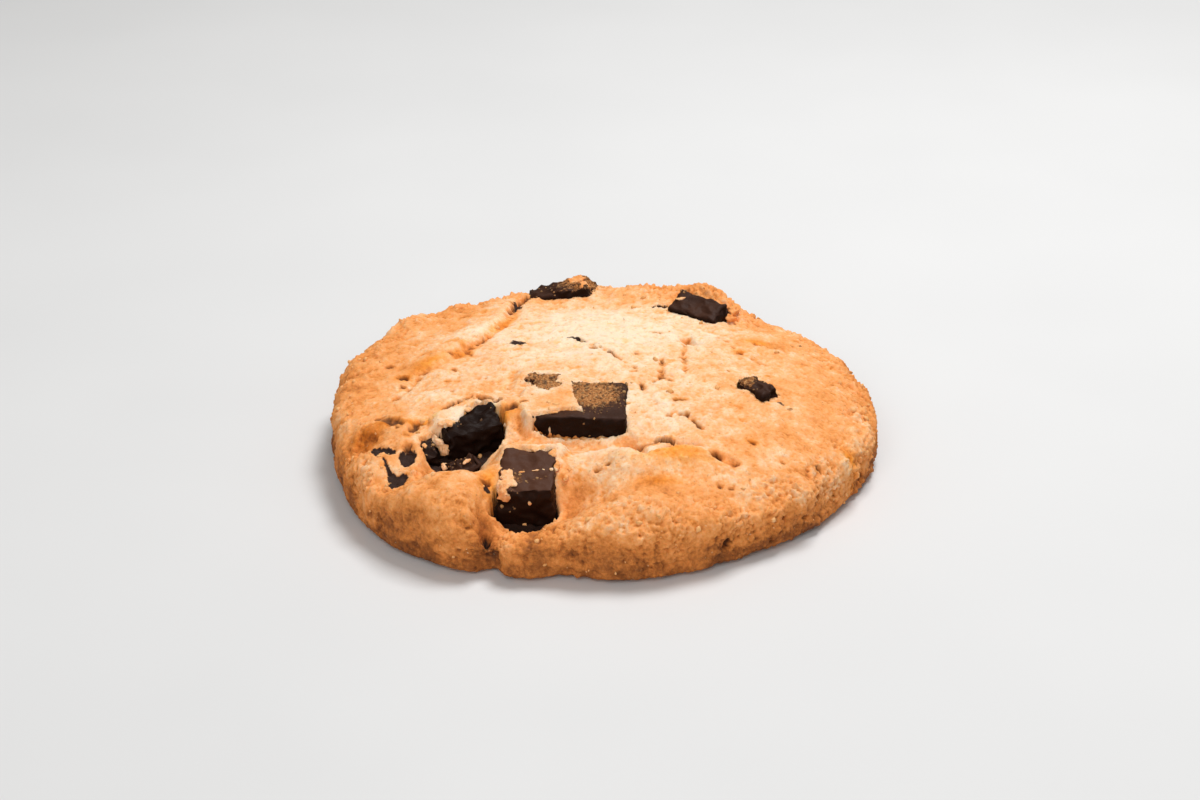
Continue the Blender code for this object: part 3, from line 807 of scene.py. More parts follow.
def outside_outline(x, y, corners):
    """Distance of each point outside the closed outline, in millimetres and negative inside it."""
    away = np.full_like(x, np.inf)
    inside = np.zeros(x.shape, dtype=bool)
    for (x0, y0), (x1, y1) in zip(corners, corners[1:] + corners[:1]):
        run_x, run_y = x1 - x0, y1 - y0
        along = np.clip(((x - x0) * run_x + (y - y0) * run_y) / (run_x**2 + run_y**2), 0, 1)
        away = np.minimum(away, np.hypot(x - x0 - along * run_x, y - y0 - along * run_y))
        if y0 != y1:
            crossed = ((y0 > y) != (y1 > y)) & (x < run_x * (y - y0) / run_y + x0)
            inside ^= crossed
    return np.where(inside, -away, away)


def settle_around_chunks(x, y, height):
    """Sinks the dough under each chunk's top, apart from where the dough laps over it."""
    for number, (name, chunk) in enumerate(CHUNKS.items()):
        top, outside = over_chunk(x, y, chunk)
        covered = np.full_like(x, np.inf)
        rise = np.zeros_like(x)
        near = ease(1 - (outside - 0.4) / LAP_RUNOUT)
        for thick, corners in LAPS.get(name, ()):
            away = outside_outline(x, y, corners) + ragged(x, y, number + 11, 0.3)
            covered = np.minimum(covered, away)
            lift = np.maximum(top + thick * (1 + 0.3 * wobble(x, y, 2.1, number)) - height, 0)
            rise = np.maximum(rise, lift * ease(1 - away / LAP_RUNOUT))
        height = height + rise * near
        showing = ease((-outside - ragged(x, y, number, 0.2) - CLEAR_INSIDE) / 0.3) * ease(covered / 0.2)
        height = height * (1 - showing) + np.minimum(height, top - CLEAR_DEPTH) * showing
    for number, (kind, amount, _, corners) in enumerate(HOLLOWS):
        away = outside_outline(x, y, corners) + ragged(x, y, number + 4, 0.25)
        uneven = 0.3 * wobble(x, y, 1.5, number + 7)
        floor = amount + uneven if kind == "floor" else height - amount * (1 + uneven)
        height = height + (np.minimum(height, floor) - height) * ease(-away / HOLLOW_WALL)
    return height


def chocolate_stain_and_shade(x, y):
    """How much chocolate shows on the dough at each point, with painted shade on two sunken floors, from 0 to
    1.
    """
    stain_and_shade = np.zeros_like(x)
    for number, (_, _, amount, corners) in enumerate(HOLLOWS):
        away = outside_outline(x, y, corners) + ragged(x, y, number + 4, 0.25)
        stain_and_shade = np.maximum(stain_and_shade, amount * ease((0.1 - away) / 0.4))
    for number, (at_x, at_y, half_length, half_width, turn, amount) in enumerate(STAINS):
        spot = bell(x, y, at_x, at_y, half_length, half_width, turn) + 0.2 * wobble(x, y, 1.2, number)
        stain_and_shade = np.maximum(stain_and_shade, amount * ease((spot - 0.28) / 0.2))
    return stain_and_shade


def top_height(x, y, reach):
    """Height of the dough's top before its shoulder rounds off. Reach is 0 at the middle, 1 at the edge."""
    height = CENTRE_HEIGHT - EDGE_DROP * reach**2
    height += lobes(angle_of(x, y), RIM_LOBES) * reach**6
    for swelling in MOUNDS:
        height += bell(x, y, *swelling)
    for line, lift, spread in FOLDS:
        height += fold(x, y, line, lift, spread)
    for line, half_width, depth in GROOVES:
        height -= depth * near_line(x, y, line, half_width)
    return height


def ring_rows(power, half_height):
    """Rings an even step apart along a quarter of a superellipse: their reach and their rise, 0 to 1."""
    turn = np.linspace(0, math.pi / 2, 400)
    reach = np.sin(turn) ** (2 / power)
    rise = np.cos(turn) ** (2 / power)
    way = np.concatenate([[0.0], np.cumsum(np.hypot(np.diff(reach) * RADIUS, np.diff(rise) * half_height))])
    rows = np.linspace(0, 1, max(round(way[-1] / SKIN_STEP), 2) + 1)
    return np.interp(rows, way / way[-1], reach), np.interp(rows, way / way[-1], rise)


def skin_rings():
    """Rings from the top's middle to the underside's: reach, rise, spacing and whether above the belly."""
    top_rows = ring_rows(SHOULDER_POWER, CENTRE_HEIGHT - BELLY_HEIGHT)
    rings = [(reach, rise, SKIN_STEP, True) for reach, rise in zip(*top_rows)]
    foot_reach, foot_rise = ring_rows(FOOT_POWER, BELLY_HEIGHT)
    previous = None
    for reach, rise in zip(foot_reach[-2::-1], foot_rise[-2::-1]):
        flat = reach * RADIUS < RADIUS - FOOT_WIDTH
        if not flat or previous is None or previous - reach * RADIUS > UNDERSIDE_STEP:
            rings.append((reach, rise, UNDERSIDE_STEP if flat else FOOT_STEP, False))
            previous = reach * RADIUS
    if rings[-1][0] > NO_REACH:
        rings.append((0.0, 1.0, UNDERSIDE_STEP, False))
    return rings


def stitch(first, first_count, second, second_count):
    """Triangles between two rings of vertices, the second outside or below the first."""
    made = []
    i = j = 0
    while i < first_count or j < second_count:
        if j < second_count and (i == first_count or (j + 1) * first_count <= (i + 1) * second_count):
            made.append((first + i % first_count, second + j % second_count, second + (j + 1) % second_count))
            j += 1
        else:
            made.append((first + i % first_count, second + j % second_count, first + (i + 1) % first_count))
            i += 1
    return made


def side_shape(z, angle, reach):
    """How far the side stands out at each height and angle, by the steps of its foot and by its pits."""
    out = lobes(angle, FOOT_LOBES) * np.clip(1 - z / FOOT_HEIGHT, 0, 1) * reach**8
    for at, height, radius, depth in SIDE_PITS:
        away = np.hypot(np.radians(angle_from(angle, at)) * RADIUS, z - height) / radius
        out -= depth * np.exp(-(away**4)) * (reach > SIDE_REACH)
    return out


def dough_points(angle, reach, rise, above):
    """Places of the dough's surface, in millimetres, from their angle, reach and rise."""
    radius = (RADIUS + lobes(np.degrees(angle), OUTLINE_LOBES)) * reach
    x = radius * np.cos(angle)
    y = radius * np.sin(angle)
    top = BELLY_HEIGHT + (top_height(x, y, reach) - BELLY_HEIGHT) * rise
    base = np.maximum(BELLY_HEIGHT * (1 - rise) - FLAT_FOOT, 0)
    z = np.where(above, top, base)
    bare = ~above & (reach < UNDERSIDE_REACH)
    hollows = np.clip(wobble(x, y, 5.0, 13) + 0.5 * wobble(x, y, 2.4, 5), 0, 1)
    z = np.where(bare, UNDERSIDE_HOLLOWS * hollows, z)
    out = side_shape(z, np.degrees(angle), reach) / RADIUS
    return np.column_stack([x * (1 + out), y * (1 + out), z])


def skin_mesh():
    """Places and triangles of the dough's skin before its relief, and which places are above the belly."""
    rings, triangles = [], []
    total = 0
    last = None
    for reach, rise, step, above in skin_rings():
        count = 1 if reach < NO_REACH else max(round(math.tau * reach * RADIUS / step), 6)
        around = np.arange(count) / count * math.tau
        rings.append([around, *(np.full(count, part) for part in (reach, rise, above))])
        if last and count == 1:
            triangles += [(last[0] + k, total, last[0] + (k + 1) % last[1]) for k in range(last[1])]
        elif last and last[1] == 1:
            triangles += [(last[0], total + k, total + (k + 1) % count) for k in range(count)]
        elif last:
            triangles += stitch(*last, total, count)
        last = (total, count)
        total += count
    angle, reach, rise, above = (np.concatenate(part) for part in zip(*rings))
    return dough_points(angle, reach, rise, above), triangles, above


def lump_height(point):
    """How far the lumps lift the surface at a point, in millimetres."""
    return sum(high * noise.noise(point / size + Vector((size, 0, 0))) for size, high in LUMPS)


def lapped(x, y, name, runout=0.0):
    """1 where the dough laps over the chunk, fading out at the lap's edge or over the run-out past it."""
    cover = np.zeros_like(x)
    _, outside = over_chunk(x, y, CHUNKS[name])
    for _, corners in LAPS.get(name, ()):
        away = np.maximum(outside_outline(x, y, corners), outside)
        cover = np.maximum(cover, ease((runout - away) / 0.6))
    return cover


def in_gap(x, y, z):
    """1 where the dough lies sunk under a chunk, and 0 elsewhere."""
    sunk = np.zeros_like(x)
    for chunk in CHUNKS.values():
        top, outside = over_chunk(x, y, chunk)
        sunk = np.maximum(sunk, (outside < -0.3) & (z < top - 0.8))
    return sunk


def crumbliness(x, y, z, reach):
    """How crumbly the surface is, from 0 on the smooth top to 1 along the rim."""
    rim = np.clip((reach - 0.82) / 0.10, 0, 1)
    patches = np.clip(0.45 + 1.2 * wobble(x, y, 6.0, 6) + 0.6 * wobble(z, x, 4.0, 2), 0, 1)
    smooth = np.maximum(*(bell(x, y, *place) for place in SMOOTH_PLACES))
    rugged = bell(x, y, *RUGGED_PLACE)
    return np.clip((rim * (0.35 + 0.75 * patches) + 0.25 * patches) * (1 - smooth) + rugged, 0, 1)


def browning_and_painted_light(points):
    """How brown the crust is at each point, from 0, pale, to 1, dark, with painted shade and painted light in
    places.
    """
    x, y, z = points.T
    reach = np.hypot(x, y) / RADIUS
    side = np.clip((reach - SIDE_REACH) / 0.12, 0, 1)
    brown = MIDDLE_BROWNING + EDGE_BROWNING * reach**3
    brown += side * (SIDE_BROWNING * np.clip((8 - z) / 4, 0, 1) + FOOT_BROWNING * np.clip((3 - z) / 3, 0, 1))
    warped_x = x + 0.45 * wobble(x, y, 2.3, 21) + 0.35 * wobble(x, y, 1.0, 23)
    warped_y = y + 0.45 * wobble(x, y, 2.1, 27) + 0.35 * wobble(x, y, 1.1, 29)
    for spot in BROWN_AND_PAINTED_LIGHT_SPOTS:
        brown += bell(warped_x, warped_y, *spot)
    for at, height, half_width, half_height, amount in SIDE_BROWN_SPOTS:
        across = np.radians(angle_from(angle_of(x, y), at)) * RADIUS / half_width
        brown += amount * side * np.exp(-(across**2) - ((z - height) / half_height) ** 2)
    brown += 0.05 * wobble(x, y, 9.0, 3) + 0.05 * wobble(x, y, 4.0, 8)
    # Painted shade in and around the cracks and pits, and along three of the grooves.
    brown += CRACK_SHADE * ease(dents(x, y, 0.4) / 0.5) * (z > BELLY_HEIGHT) * inside_rim(x, y)
    for line, half_width, _ in GROOVES[1:4]:
        brown += GROOVE_SHADE * near_line(x, y, line, half_width)
    base = UNDERSIDE_BROWNING + 0.08 * wobble(x, y, 13.0, 2) + 0.07 * wobble(x, y, 4.0, 6)
    return np.clip(np.where(z < UNDERSIDE_TOP, base, brown), 0, 1)


def golden(x, y):
    """How golden the toasted spots are, from 0 to 1."""
    spots = [spot for spot in BROWN_AND_PAINTED_LIGHT_SPOTS if spot[-1] >= GOLDEN_FROM]
    total = sum(bell(x, y, *spot[:-1]) for spot in spots)
    return np.clip(total + 0.3 * wobble(x, y, 1.3, 31) * (total > 0.1), 0, 1)


class Number:
    """A number in a node tree. Sums written with it become Math nodes."""

    def __init__(self, tree, socket):
        self.tree = tree
        self.socket = socket

    def maths(self, operation, *others, clamp=False):
        return maths(self.tree, operation, self, *others, clamp=clamp)

    def stretched(self, gain, lift, clamp=False):
        return self.maths("MULTIPLY_ADD", gain, lift, clamp=clamp)

    def __add__(self, other):
        return self.maths("ADD", other)

    def __sub__(self, other):
        return self.maths("SUBTRACT", other)

    def __rsub__(self, other):
        return maths(self.tree, "SUBTRACT", other, self)

    def __mul__(self, other):
        return self.maths("MULTIPLY", other)

    def __truediv__(self, other):
        return self.maths("DIVIDE", other)

    def __rtruediv__(self, other):
        return maths(self.tree, "DIVIDE", other, self)


def maths(tree, operation, *values, clamp=False):
    """The result of a Math node."""
    made = add_node(tree, "ShaderNodeMath", dict(enumerate(values)), operation=operation, use_clamp=clamp)
    return Number(tree, made.outputs[0])


def feed(tree, socket, value):
    """Gives an input its value, or links it to the socket or the number that feeds it."""
    value = getattr(value, "socket", value)
    if isinstance(value, bpy.types.NodeSocket):
        tree.links.new(value, socket)
    else:
        socket.default_value = value


def add_node(tree, kind, inputs=None, **settings):
    """A node of the tree, with each input given as a value or as what feeds it."""
    made = tree.nodes.new(kind)
    for name, value in settings.items():
        setattr(made, name, value)
    for key, value in (inputs or {}).items():
        feed(tree, made.inputs[key], value)
    return made


def vector_maths(tree, operation, inputs):
    return add_node(tree, "ShaderNodeVectorMath", inputs, operation=operation).outputs


def enabled(sockets, name=None):
    """The first socket in use, of the given name if there is one."""
    return next(socket for socket in sockets if socket.enabled and name in (None, socket.name))


def new_tree(name, numbers):
    """A Geometry Nodes tree with a geometry input and output and a named input for each number."""
    tree = bpy.data.node_groups.new(name, "GeometryNodeTree")
    for way in ("OUTPUT", "INPUT"):
        tree.interface.new_socket("Geometry", in_out=way, socket_type="NodeSocketGeometry")
    for label, value in numbers.items():
        kind = "NodeSocketInt" if isinstance(value, int) else "NodeSocketFloat"
        tree.interface.new_socket(label, in_out="INPUT", socket_type=kind).default_value = value
    start = tree.nodes.new("NodeGroupInput")
    return tree, start.outputs["Geometry"], {label: Number(tree, start.outputs[label]) for label in numbers}


def end_tree(tree, geometry, material):
    """Ends the tree with plain geometry that wears the material."""
    whole = add_node(tree, "GeometryNodeRealizeInstances", {"Geometry": geometry})
    dressed = add_node(tree, "GeometryNodeSetMaterial", {"Geometry": whole.outputs[0], "Material": material})
    tree.links.new(dressed.outputs[0], tree.nodes.new("NodeGroupOutput").inputs[0])
    return tree


def stored(tree, name):
    """The number that the mesh keeps under the name, in a Geometry Nodes tree."""
    made = add_node(tree, "GeometryNodeInputNamedAttribute", {"Name": name}, data_type="FLOAT")
    return Number(tree, made.outputs[0])


def grow(thing, tree, numbers):
    """Runs the tree on the object and keeps its result as the object's plain mesh."""
    modifier = thing.modifiers.new(tree.name, "NODES")
    modifier.node_group = tree
    for item in tree.interface.items_tree:
        if item.in_out == "INPUT" and item.name in numbers:
            modifier[item.identifier] = numbers[item.name]
    return freeze(thing)


def freeze(thing):
    """Turns the object with its modifiers into a plain mesh."""
    bpy.context.view_layer.update()
    graph = bpy.context.evaluated_depsgraph_get()
    result = bpy.data.meshes.new_from_object(thing.evaluated_get(graph))
    thing.modifiers.clear()
    thing.data = result
    return thing


def new_object(shape, name, material):
    mesh = bpy.data.meshes.new(name)
    shape.to_mesh(mesh)
    shape.free()
    mesh.shade_smooth()
    mesh.materials.append(material)
    made = bpy.data.objects.new(name, mesh)
    bpy.context.scene.collection.objects.link(made)
    return made


def vertex_places(mesh):
    """The places of the mesh's vertices as rows, in millimetres."""
    places = np.empty(len(mesh.vertices) * 3)
    mesh.vertices.foreach_get("co", places)
    return places.reshape(-1, 3) / MM


def store(mesh, name, values):
    """Keeps one number for each vertex under a name that materials and node trees can read."""
    made = mesh.attributes.new(name, "FLOAT", "POINT")
    made.data.foreach_set("value", np.asarray(values, dtype=np.float32))


def read(mesh, name):
    """The stored number of each vertex."""
    values = np.empty(len(mesh.vertices), dtype=np.float32)
    mesh.attributes[name].data.foreach_get("value", values)
    return values


def hold_inside(mesh):
    """Keeps every vertex inside the space that the solids take up."""
    low, high = (np.array(corner) / MM for corner in cad_box)
    places = np.clip(vertex_places(mesh), low + 0.01, high - 0.01)
    places[:, 2] = np.where(places[:, 2] < 0.02, 0, places[:, 2])
    mesh.vertices.foreach_set("co", (places * MM).ravel())
    mesh.update()


def relief_tree(material):
    """Pushes the crust in and out by lumps, grains, pores and crumbs, as far as its softness lets it."""
    tree, geometry, given = new_tree("crust relief", DOUGH_RELIEF)
    place = add_node(tree, "GeometryNodeInputPosition").outputs[0]
    crumbly = stored(tree, "crumbly")

    def pattern(kind, size, **inputs):
        inputs = {"Vector": place, "W": given["Seed"], "Scale": 1 / MM / size} | inputs
        dimensions = {"noise_dimensions" if "Noise" in kind else "voronoi_dimensions": "4D"}
        return add_node(tree, kind, inputs, **dimensions).outputs

    def waves(size, height, detail, roughness):
        noise_field = pattern("ShaderNodeTexNoise", size, Detail=detail, Roughness=roughness)
        return (Number(tree, noise_field[0]) - 0.5) * 2.0 * height

    def cells(size, channel):
        """How far each place is from the middle of its cell, and a chance that the whole cell shares."""
        made = pattern("ShaderNodeTexVoronoi", size)
        chance = add_node(tree, "FunctionNodeSeparateColor", {"Color": made["Color"]}).outputs[channel]
        return Number(tree, made["Distance"]), Number(tree, chance)

    lumps = waves(given["Lump Size"], given["Lump Height"], 2.0, 0.55)
    grains = waves(given["Grain Size"], given["Grain Height"] * crumbly.stretched(*CRUMBLY_GRAINS), 1.5, 0.6)
    away, chance = cells(given["Pore Spacing"], "Red")
    near = (away * given["Pore Spacing"] / given["Pore Radius"]).maths("POWER", 2.0)
    bowl = maths(tree, "SUBTRACT", 1.0, near, clamp=True) * chance.maths("LESS_THAN", given["Pore Share"])
    pores = bowl * (given["Pore Depth"] * -1.0)
    away, chance = cells(given["Crumb Size"], "Green")
    dome = (CRUMB_EDGE - away).maths("MAXIMUM", CRUMB_GAP) * chance.stretched(*CRUMB_CHOICE, clamp=True)
    domes = dome * given["Crumb Height"] * (crumbly * 2.0)
    relief = (lumps + grains + pores + domes) * stored(tree, "softness")
    outward = add_node(tree, "GeometryNodeInputNormal").outputs[0]
    offset = vector_maths(tree, "SCALE", {0: outward, "Scale": relief * MM})[0]
    moved = add_node(tree, "GeometryNodeSetPosition", {"Geometry": geometry, "Offset": offset})
    # How deep each place lies below its surroundings, kept for painting shade in hollows and highlights on
    # ridges.
    settled = add_node(tree, "GeometryNodeInputPosition").outputs[0]
    around = add_node(
        tree, "GeometryNodeBlurAttribute", {"Iterations": given["Hollow Reach"]}, data_type="FLOAT_VECTOR"
    )
    tree.links.new(settled, enabled(around.inputs, "Value"))
    inward = vector_maths(tree, "SUBTRACT", {0: enabled(around.outputs), 1: settled})[0]
    depth = vector_maths(tree, "DOT_PRODUCT", {0: inward, 1: outward})["Value"]
    values = {"Geometry": moved.outputs[0], "Name": "hollow", "Value": Number(tree, depth) / MM}
    kept = add_node(tree, "GeometryNodeStoreNamedAttribute", values, data_type="FLOAT", domain="POINT")
    return end_tree(tree, kept.outputs[0], material)


def scatter_tree(name, material, crumb, numbers):
    """Strews turned copies of the crumb over the surface, thickest where the strewn value is 1."""
    tree, geometry, given = new_tree(name, numbers)
    seed = {"Seed": given["Seed"]}
    density = stored(tree, "strewn") * given["Crumbs per Square Metre"]
    bed = add_node(tree, "GeometryNodeDistributePointsOnFaces", {"Mesh": geometry, "Density": density} | seed)
    dice = add_node(tree, "FunctionNodeRandomValue", seed, data_type="FLOAT")
    roll = Number(tree, enabled(dice.outputs)).maths("POWER", MOSTLY_SMALL)
    turn = add_node(tree, "FunctionNodeRandomValue", seed, data_type="FLOAT_VECTOR")
    turn.inputs["Max"].default_value = (math.tau, math.tau, math.tau)
    laid = {
        "Points": bed.outputs["Points"],
        "Instance": add_node(tree, "GeometryNodeObjectInfo", {"Object": crumb}).outputs["Geometry"],
        "Rotation": turn.outputs["Value"],
        "Scale": roll.stretched(given["Largest"] - given["Smallest"], given["Smallest"]),
    }
    copies = add_node(tree, "GeometryNodeInstanceOnPoints", laid)
    return end_tree(tree, copies.outputs[0], material)


def new_material(name, roughness):
    """A material, its tree and its shader. Patterns read the place node's Object coordinates."""
    made = bpy.data.materials.new(name)
    made.use_nodes = True
    shader = made.node_tree.nodes["Principled BSDF"]
    shader.inputs["Roughness"].default_value = roughness
    shader.inputs["Metallic"].default_value = 0.0
    add_node(made.node_tree, "ShaderNodeTexCoord", name="place")
    return made, made.node_tree, shader


def attribute(tree, name):
    """The number that the mesh keeps under the name, in a material."""
    return Number(tree, add_node(tree, "ShaderNodeAttribute", attribute_name=name).outputs["Fac"])


def speckle(tree, size, detail, roughness, seed, gain=None, lift=0.0, clamp=False):
    """A noise from 0 to 1 in grains of about the size in millimetres, stretched by the gain and the lift."""
    place = tree.nodes["place"].outputs["Object"]
    inputs = {"Vector": place, "W": seed, "Scale": 1 / (size * MM), "Detail": detail, "Roughness": roughness}
    made = Number(tree, add_node(tree, "ShaderNodeTexNoise", inputs, noise_dimensions="4D").outputs[0])
    return made.stretched(gain, lift, clamp) if gain else made


def colour_ramp(tree, share, stops):
    made = add_node(tree, "ShaderNodeValToRGB", {"Fac": share})
    points = made.color_ramp.elements
    while len(points) > 1:
        points.remove(points[-1])
    points[0].position, points[0].color = stops[0][0], (*stops[0][1], 1.0)
    for position, colour in stops[1:]:
        points.new(position).color = (*colour, 1.0)
    return made.outputs[0]


def blend_colour(tree, share, first, second, mode="MIX"):
    made = add_node(tree, "ShaderNodeMix", data_type="RGBA", blend_type=mode)
    for key, value in (("Factor_Float", share), ("A_Color", first), ("B_Color", second)):
        feed(tree, next(socket for socket in made.inputs if socket.identifier == key), value)
    return next(socket for socket in made.outputs if socket.identifier == "Result_Color")


def add_bump(tree, shader, strength, distance, height):
    """A bump of the given depth in millimetres on the shader."""
    values = {"Strength": strength, "Distance": distance * MM, "Height": height}
    made = add_node(tree, "ShaderNodeBump", values)
    feed(tree, shader.inputs["Normal"], made.outputs[0])


def crust_material():
    """Baked dough: a ramp from pale to brown, uneven in patches and grains, painted shade in pores, painted
    light on crumbs.
    """
    material, tree, shader = new_material("baked crust", 0.82)
    # The browning value also carries painted shade and painted light in a few places.
    baked_and_painted_light, hollow, stain_and_shade = (attribute(tree, name) for name in ("browning_and_painted_light", "hollow", "stain_and_shade"))
    # Painted shade in hollows and painted highlights on ridges, from how deep each place lies.
    ridge_highlight = hollow.maths("MINIMUM", 0.0).maths("MAXIMUM", -SHARPEST_RIDGE) * RIDGE_HIGHLIGHT
    sunk = maths(tree, "MULTIPLY_ADD", hollow.maths("MAXIMUM", 0.0), HOLLOW_SHADE, ridge_highlight)
    sunk = sunk * maths(tree, "SUBTRACT", 1.2, baked_and_painted_light, clamp=True)
    toasted = speckle(tree, *TOASTED_PATTERN) * TOASTED_SPOTS
    unevenness = toasted
    for pattern in CRUST_PATTERNS:
        unevenness = unevenness + speckle(tree, *pattern)
    evenness = baked_and_painted_light.stretched(*EVEN_WHERE_PALE, clamp=True)
    total = baked_and_painted_light + maths(tree, "MULTIPLY_ADD", unevenness, evenness, sunk)
    colour = colour_ramp(tree, total * BROWNING_SCALE, CRUST_COLOURS)
    gold = attribute(tree, "golden").maths("MAXIMUM", toasted * TOASTED_GOLD)
    smear_and_shade = (stain_and_shade + speckle(tree, *SMEAR_AND_SHADE_PATTERN)) * stain_and_shade
    layers = (
        (gold, GOLDEN_TINT, "MULTIPLY"),
        (speckle(tree, *GREY_PATTERN) * GREY_PATCHES, GREY_TINT, "MULTIPLY"),
        (speckle(tree, *SPECK_PATTERN) * 0.55, SPECK_COLOUR, "MIX"),
        (speckle(tree, *POINT_PATTERN) * 0.4, POINT_COLOUR, "MIX"),
        # Painted shade deep inside the cracks and pits.
        (attribute(tree, "crack_and_pit_shade") * 0.88, CRACK_AND_PIT_SHADE_COLOUR, "MIX"),
        (speckle(tree, *SUGAR_PATTERN) * 0.5, SUGAR_COLOUR, "MIX"),
        # Chocolate smear, and painted shade on the floors beside chunk_left and chunk_front.
        (smear_and_shade.stretched(*SMEAR_AND_SHADE_EDGE, clamp=True), SMEAR_AND_SHADE_COLOUR, "MIX"),
    )
    for share, tint, mode in layers:
        colour = blend_colour(tree, share, colour, tint, mode)
    feed(tree, shader.inputs["Base Color"], colour)
    feed(tree, shader.inputs["Roughness"], speckle(tree, *CRUST_ROUGHNESS))
    shader.inputs["Specular IOR Level"].default_value = 0.25
    shader.inputs["Subsurface Weight"].default_value = 0.15
    shader.inputs["Subsurface Radius"].default_value = (1.0, 0.42, 0.16)
    shader.inputs["Subsurface Scale"].default_value = 0.6 * MM
    fine = speckle(tree, 0.26, 3.0, 0.7, 4.0)
    coarse = speckle(tree, 0.75, 2.0, 0.6, 6.0)
    add_bump(tree, shader, 0.75, 0.22, fine * 0.5 + coarse)
    return material


def chocolate_material():
    """Dark chocolate, paler and satin where it faces up, from fat blooming and painted top light, and crumb
    dust where the dusting value says so.
    """
    material, tree, shader = new_material("dark chocolate", 0.5)
    normal = add_node(tree, "ShaderNodeNewGeometry").outputs["Normal"]
    facing = add_node(tree, "ShaderNodeSeparateXYZ", {0: normal})
    # What faces up is paler: painted top light, with the bloom noise on it.
    upward = Number(tree, facing.outputs["Z"]).stretched(1.3, -0.2, clamp=True)
    bloom_and_top_light = speckle(tree, *BLOOM_PATTERN) * upward.stretched(0.25, 0.35)
    bloom_and_top_light = maths(tree, "MULTIPLY_ADD", upward, 0.45, bloom_and_top_light) * attribute(tree, "bloom_and_top_light_share")
    brown = colour_ramp(tree, bloom_and_top_light, BLOOM_AND_TOP_LIGHT_COLOURS)
    cover = speckle(tree, *DUST_PATTERN) + attribute(tree, "dusting").stretched(0.55, -0.52)
    covered = maths(tree, "MULTIPLY", cover - 0.28, 6.0, clamp=True)
    dust_colour = colour_ramp(tree, speckle(tree, 0.3, 2.0, 0.7, 3.0), DUST_COLOURS)
    feed(tree, shader.inputs["Base Color"], blend_colour(tree, covered * 0.85, brown, dust_colour))
    feed(tree, shader.inputs["Roughness"], speckle(tree, *CHOCOLATE_ROUGHNESS) + covered * 0.35)
    shader.inputs["Specular IOR Level"].default_value = 0.09
    add_bump(tree, shader, 0.5, 0.18, speckle(tree, 0.35, 4.0, 0.65, 5.0) + covered * 0.9)
    return material


def crumb_material(name, colours):
    """Loose crumbs, each browned to a tone of its own."""
    material, tree, shader = new_material(name, 0.85)
    colour = colour_ramp(tree, speckle(tree, 0.9, 2.0, 0.6, 9.0), colours)
    feed(tree, shader.inputs["Base Color"], colour)
    add_bump(tree, shader, 0.6, 0.1, speckle(tree, 0.2, 3.0, 0.7, 2.0))
    return material


def make_dough(material):
    """The crust as one closed skin: its form, then its relief, then fewer triangles where it is smooth."""
    points, triangles, above = skin_mesh()
    mesh = bpy.data.meshes.new("crust_of_dough")
    mesh.from_pydata(points, [], triangles)
    normals = np.empty(len(points) * 3)
    mesh.vertices.foreach_get("normal", normals)
    lifts = np.array([lump_height(Vector(point)) for point in points])
    lifts *= np.clip((points[:, 2] - BARE_BASE) / 1.5, 0, 1)
    lifts *= 1 + RIM_UNEVENNESS * np.clip((np.hypot(points[:, 0], points[:, 1]) / RADIUS - 0.85) / 0.1, 0, 1)
    points += normals.reshape(-1, 3) * lifts[:, None]
    x, y, z = points.T
    reach = np.hypot(x, y) / RADIUS
    z = np.where(above, settle_around_chunks(x, y, z) - dents(x, y) * inside_rim(x, y), z)
    over = (z - HIGHEST + 2 * TOP_SOFTENING) / TOP_SOFTENING
    z = np.where(over > -6, z - TOP_SOFTENING * np.logaddexp(0, over), z)
    mesh.vertices.foreach_set("co", (np.column_stack([x, y, z]) * MM).ravel())
    mesh.update()
    mesh.materials.append(material)
    dough = bpy.data.objects.new("crust_of_dough", mesh)
    bpy.context.scene.collection.objects.link(dough)
    mesh.vertices.foreach_get("normal", normals)
    level = np.maximum(ease((normals[2::3] - 0.5) / 0.35), ease((reach - 0.84) / 0.06))
    laps = np.max([lapped(x, y, name, 0.6) for name in LAPS], axis=0)
    soft = np.clip((z - 0.15) / 1.2, 0.0, 1.0) * (1 - in_gap(x, y, z)) * (1 - LAP_SMOOTHNESS * laps)
    store(mesh, "softness", soft * (0.3 + 0.7 * level) + 0.05)
    store(mesh, "crumbly", crumbliness(x, y, z, reach))
    grow(dough, relief_tree(material), DOUGH_RELIEF)
    hold_inside(dough.data)
    fewer = dough.modifiers.new("fewer triangles", "DECIMATE")
    fewer.ratio = DOUGH_TRIANGLES / len(dough.data.polygons)
    freeze(dough)
    hold_inside(dough.data)
    dough.data.shade_smooth()
    places = vertex_places(dough.data)
    store(dough.data, "browning_and_painted_light", browning_and_painted_light(places))
    x, y, z = places.T
    store(dough.data, "golden", golden(x, y))
    # Painted shade deep inside the cracks and pits of the top, darker where they are deeper.
    store(dough.data, "crack_and_pit_shade", ease((dents(x, y) - 0.18) / 0.4) * inside_rim(x, y) * (z > BELLY_HEIGHT))
    # Chocolate stain, and painted shade on two sunken floors.
    store(dough.data, "stain_and_shade", chocolate_stain_and_shade(x, y) * (z > 1.5))
    return dough


def chunk_block(size, taper):
    """A bevelled block with finely divided faces, narrower at its top."""
    shape = bmesh.new()
    bmesh.ops.create_cube(shape, size=1)
    for vertex in shape.verts:
        for axis in range(2):
            vertex.co[axis] *= size[axis] * (taper[axis] if vertex.co.z > 0 else 1)
        vertex.co.z *= size[2]
    bmesh.ops.bevel(shape, geom=shape.edges[:], offset=CHUNK_BEVEL, segments=3, profile=0.6, affect="EDGES")
    long_edges = [edge for edge in shape.edges if edge.calc_length() > CHUNK_BEVEL * 2]
    bmesh.ops.subdivide_edges(shape, edges=long_edges, cuts=CHUNK_CUTS, use_grid_fill=True)
    bmesh.ops.triangulate(shape, faces=shape.faces[:])
    shape.normal_update()
    return shape


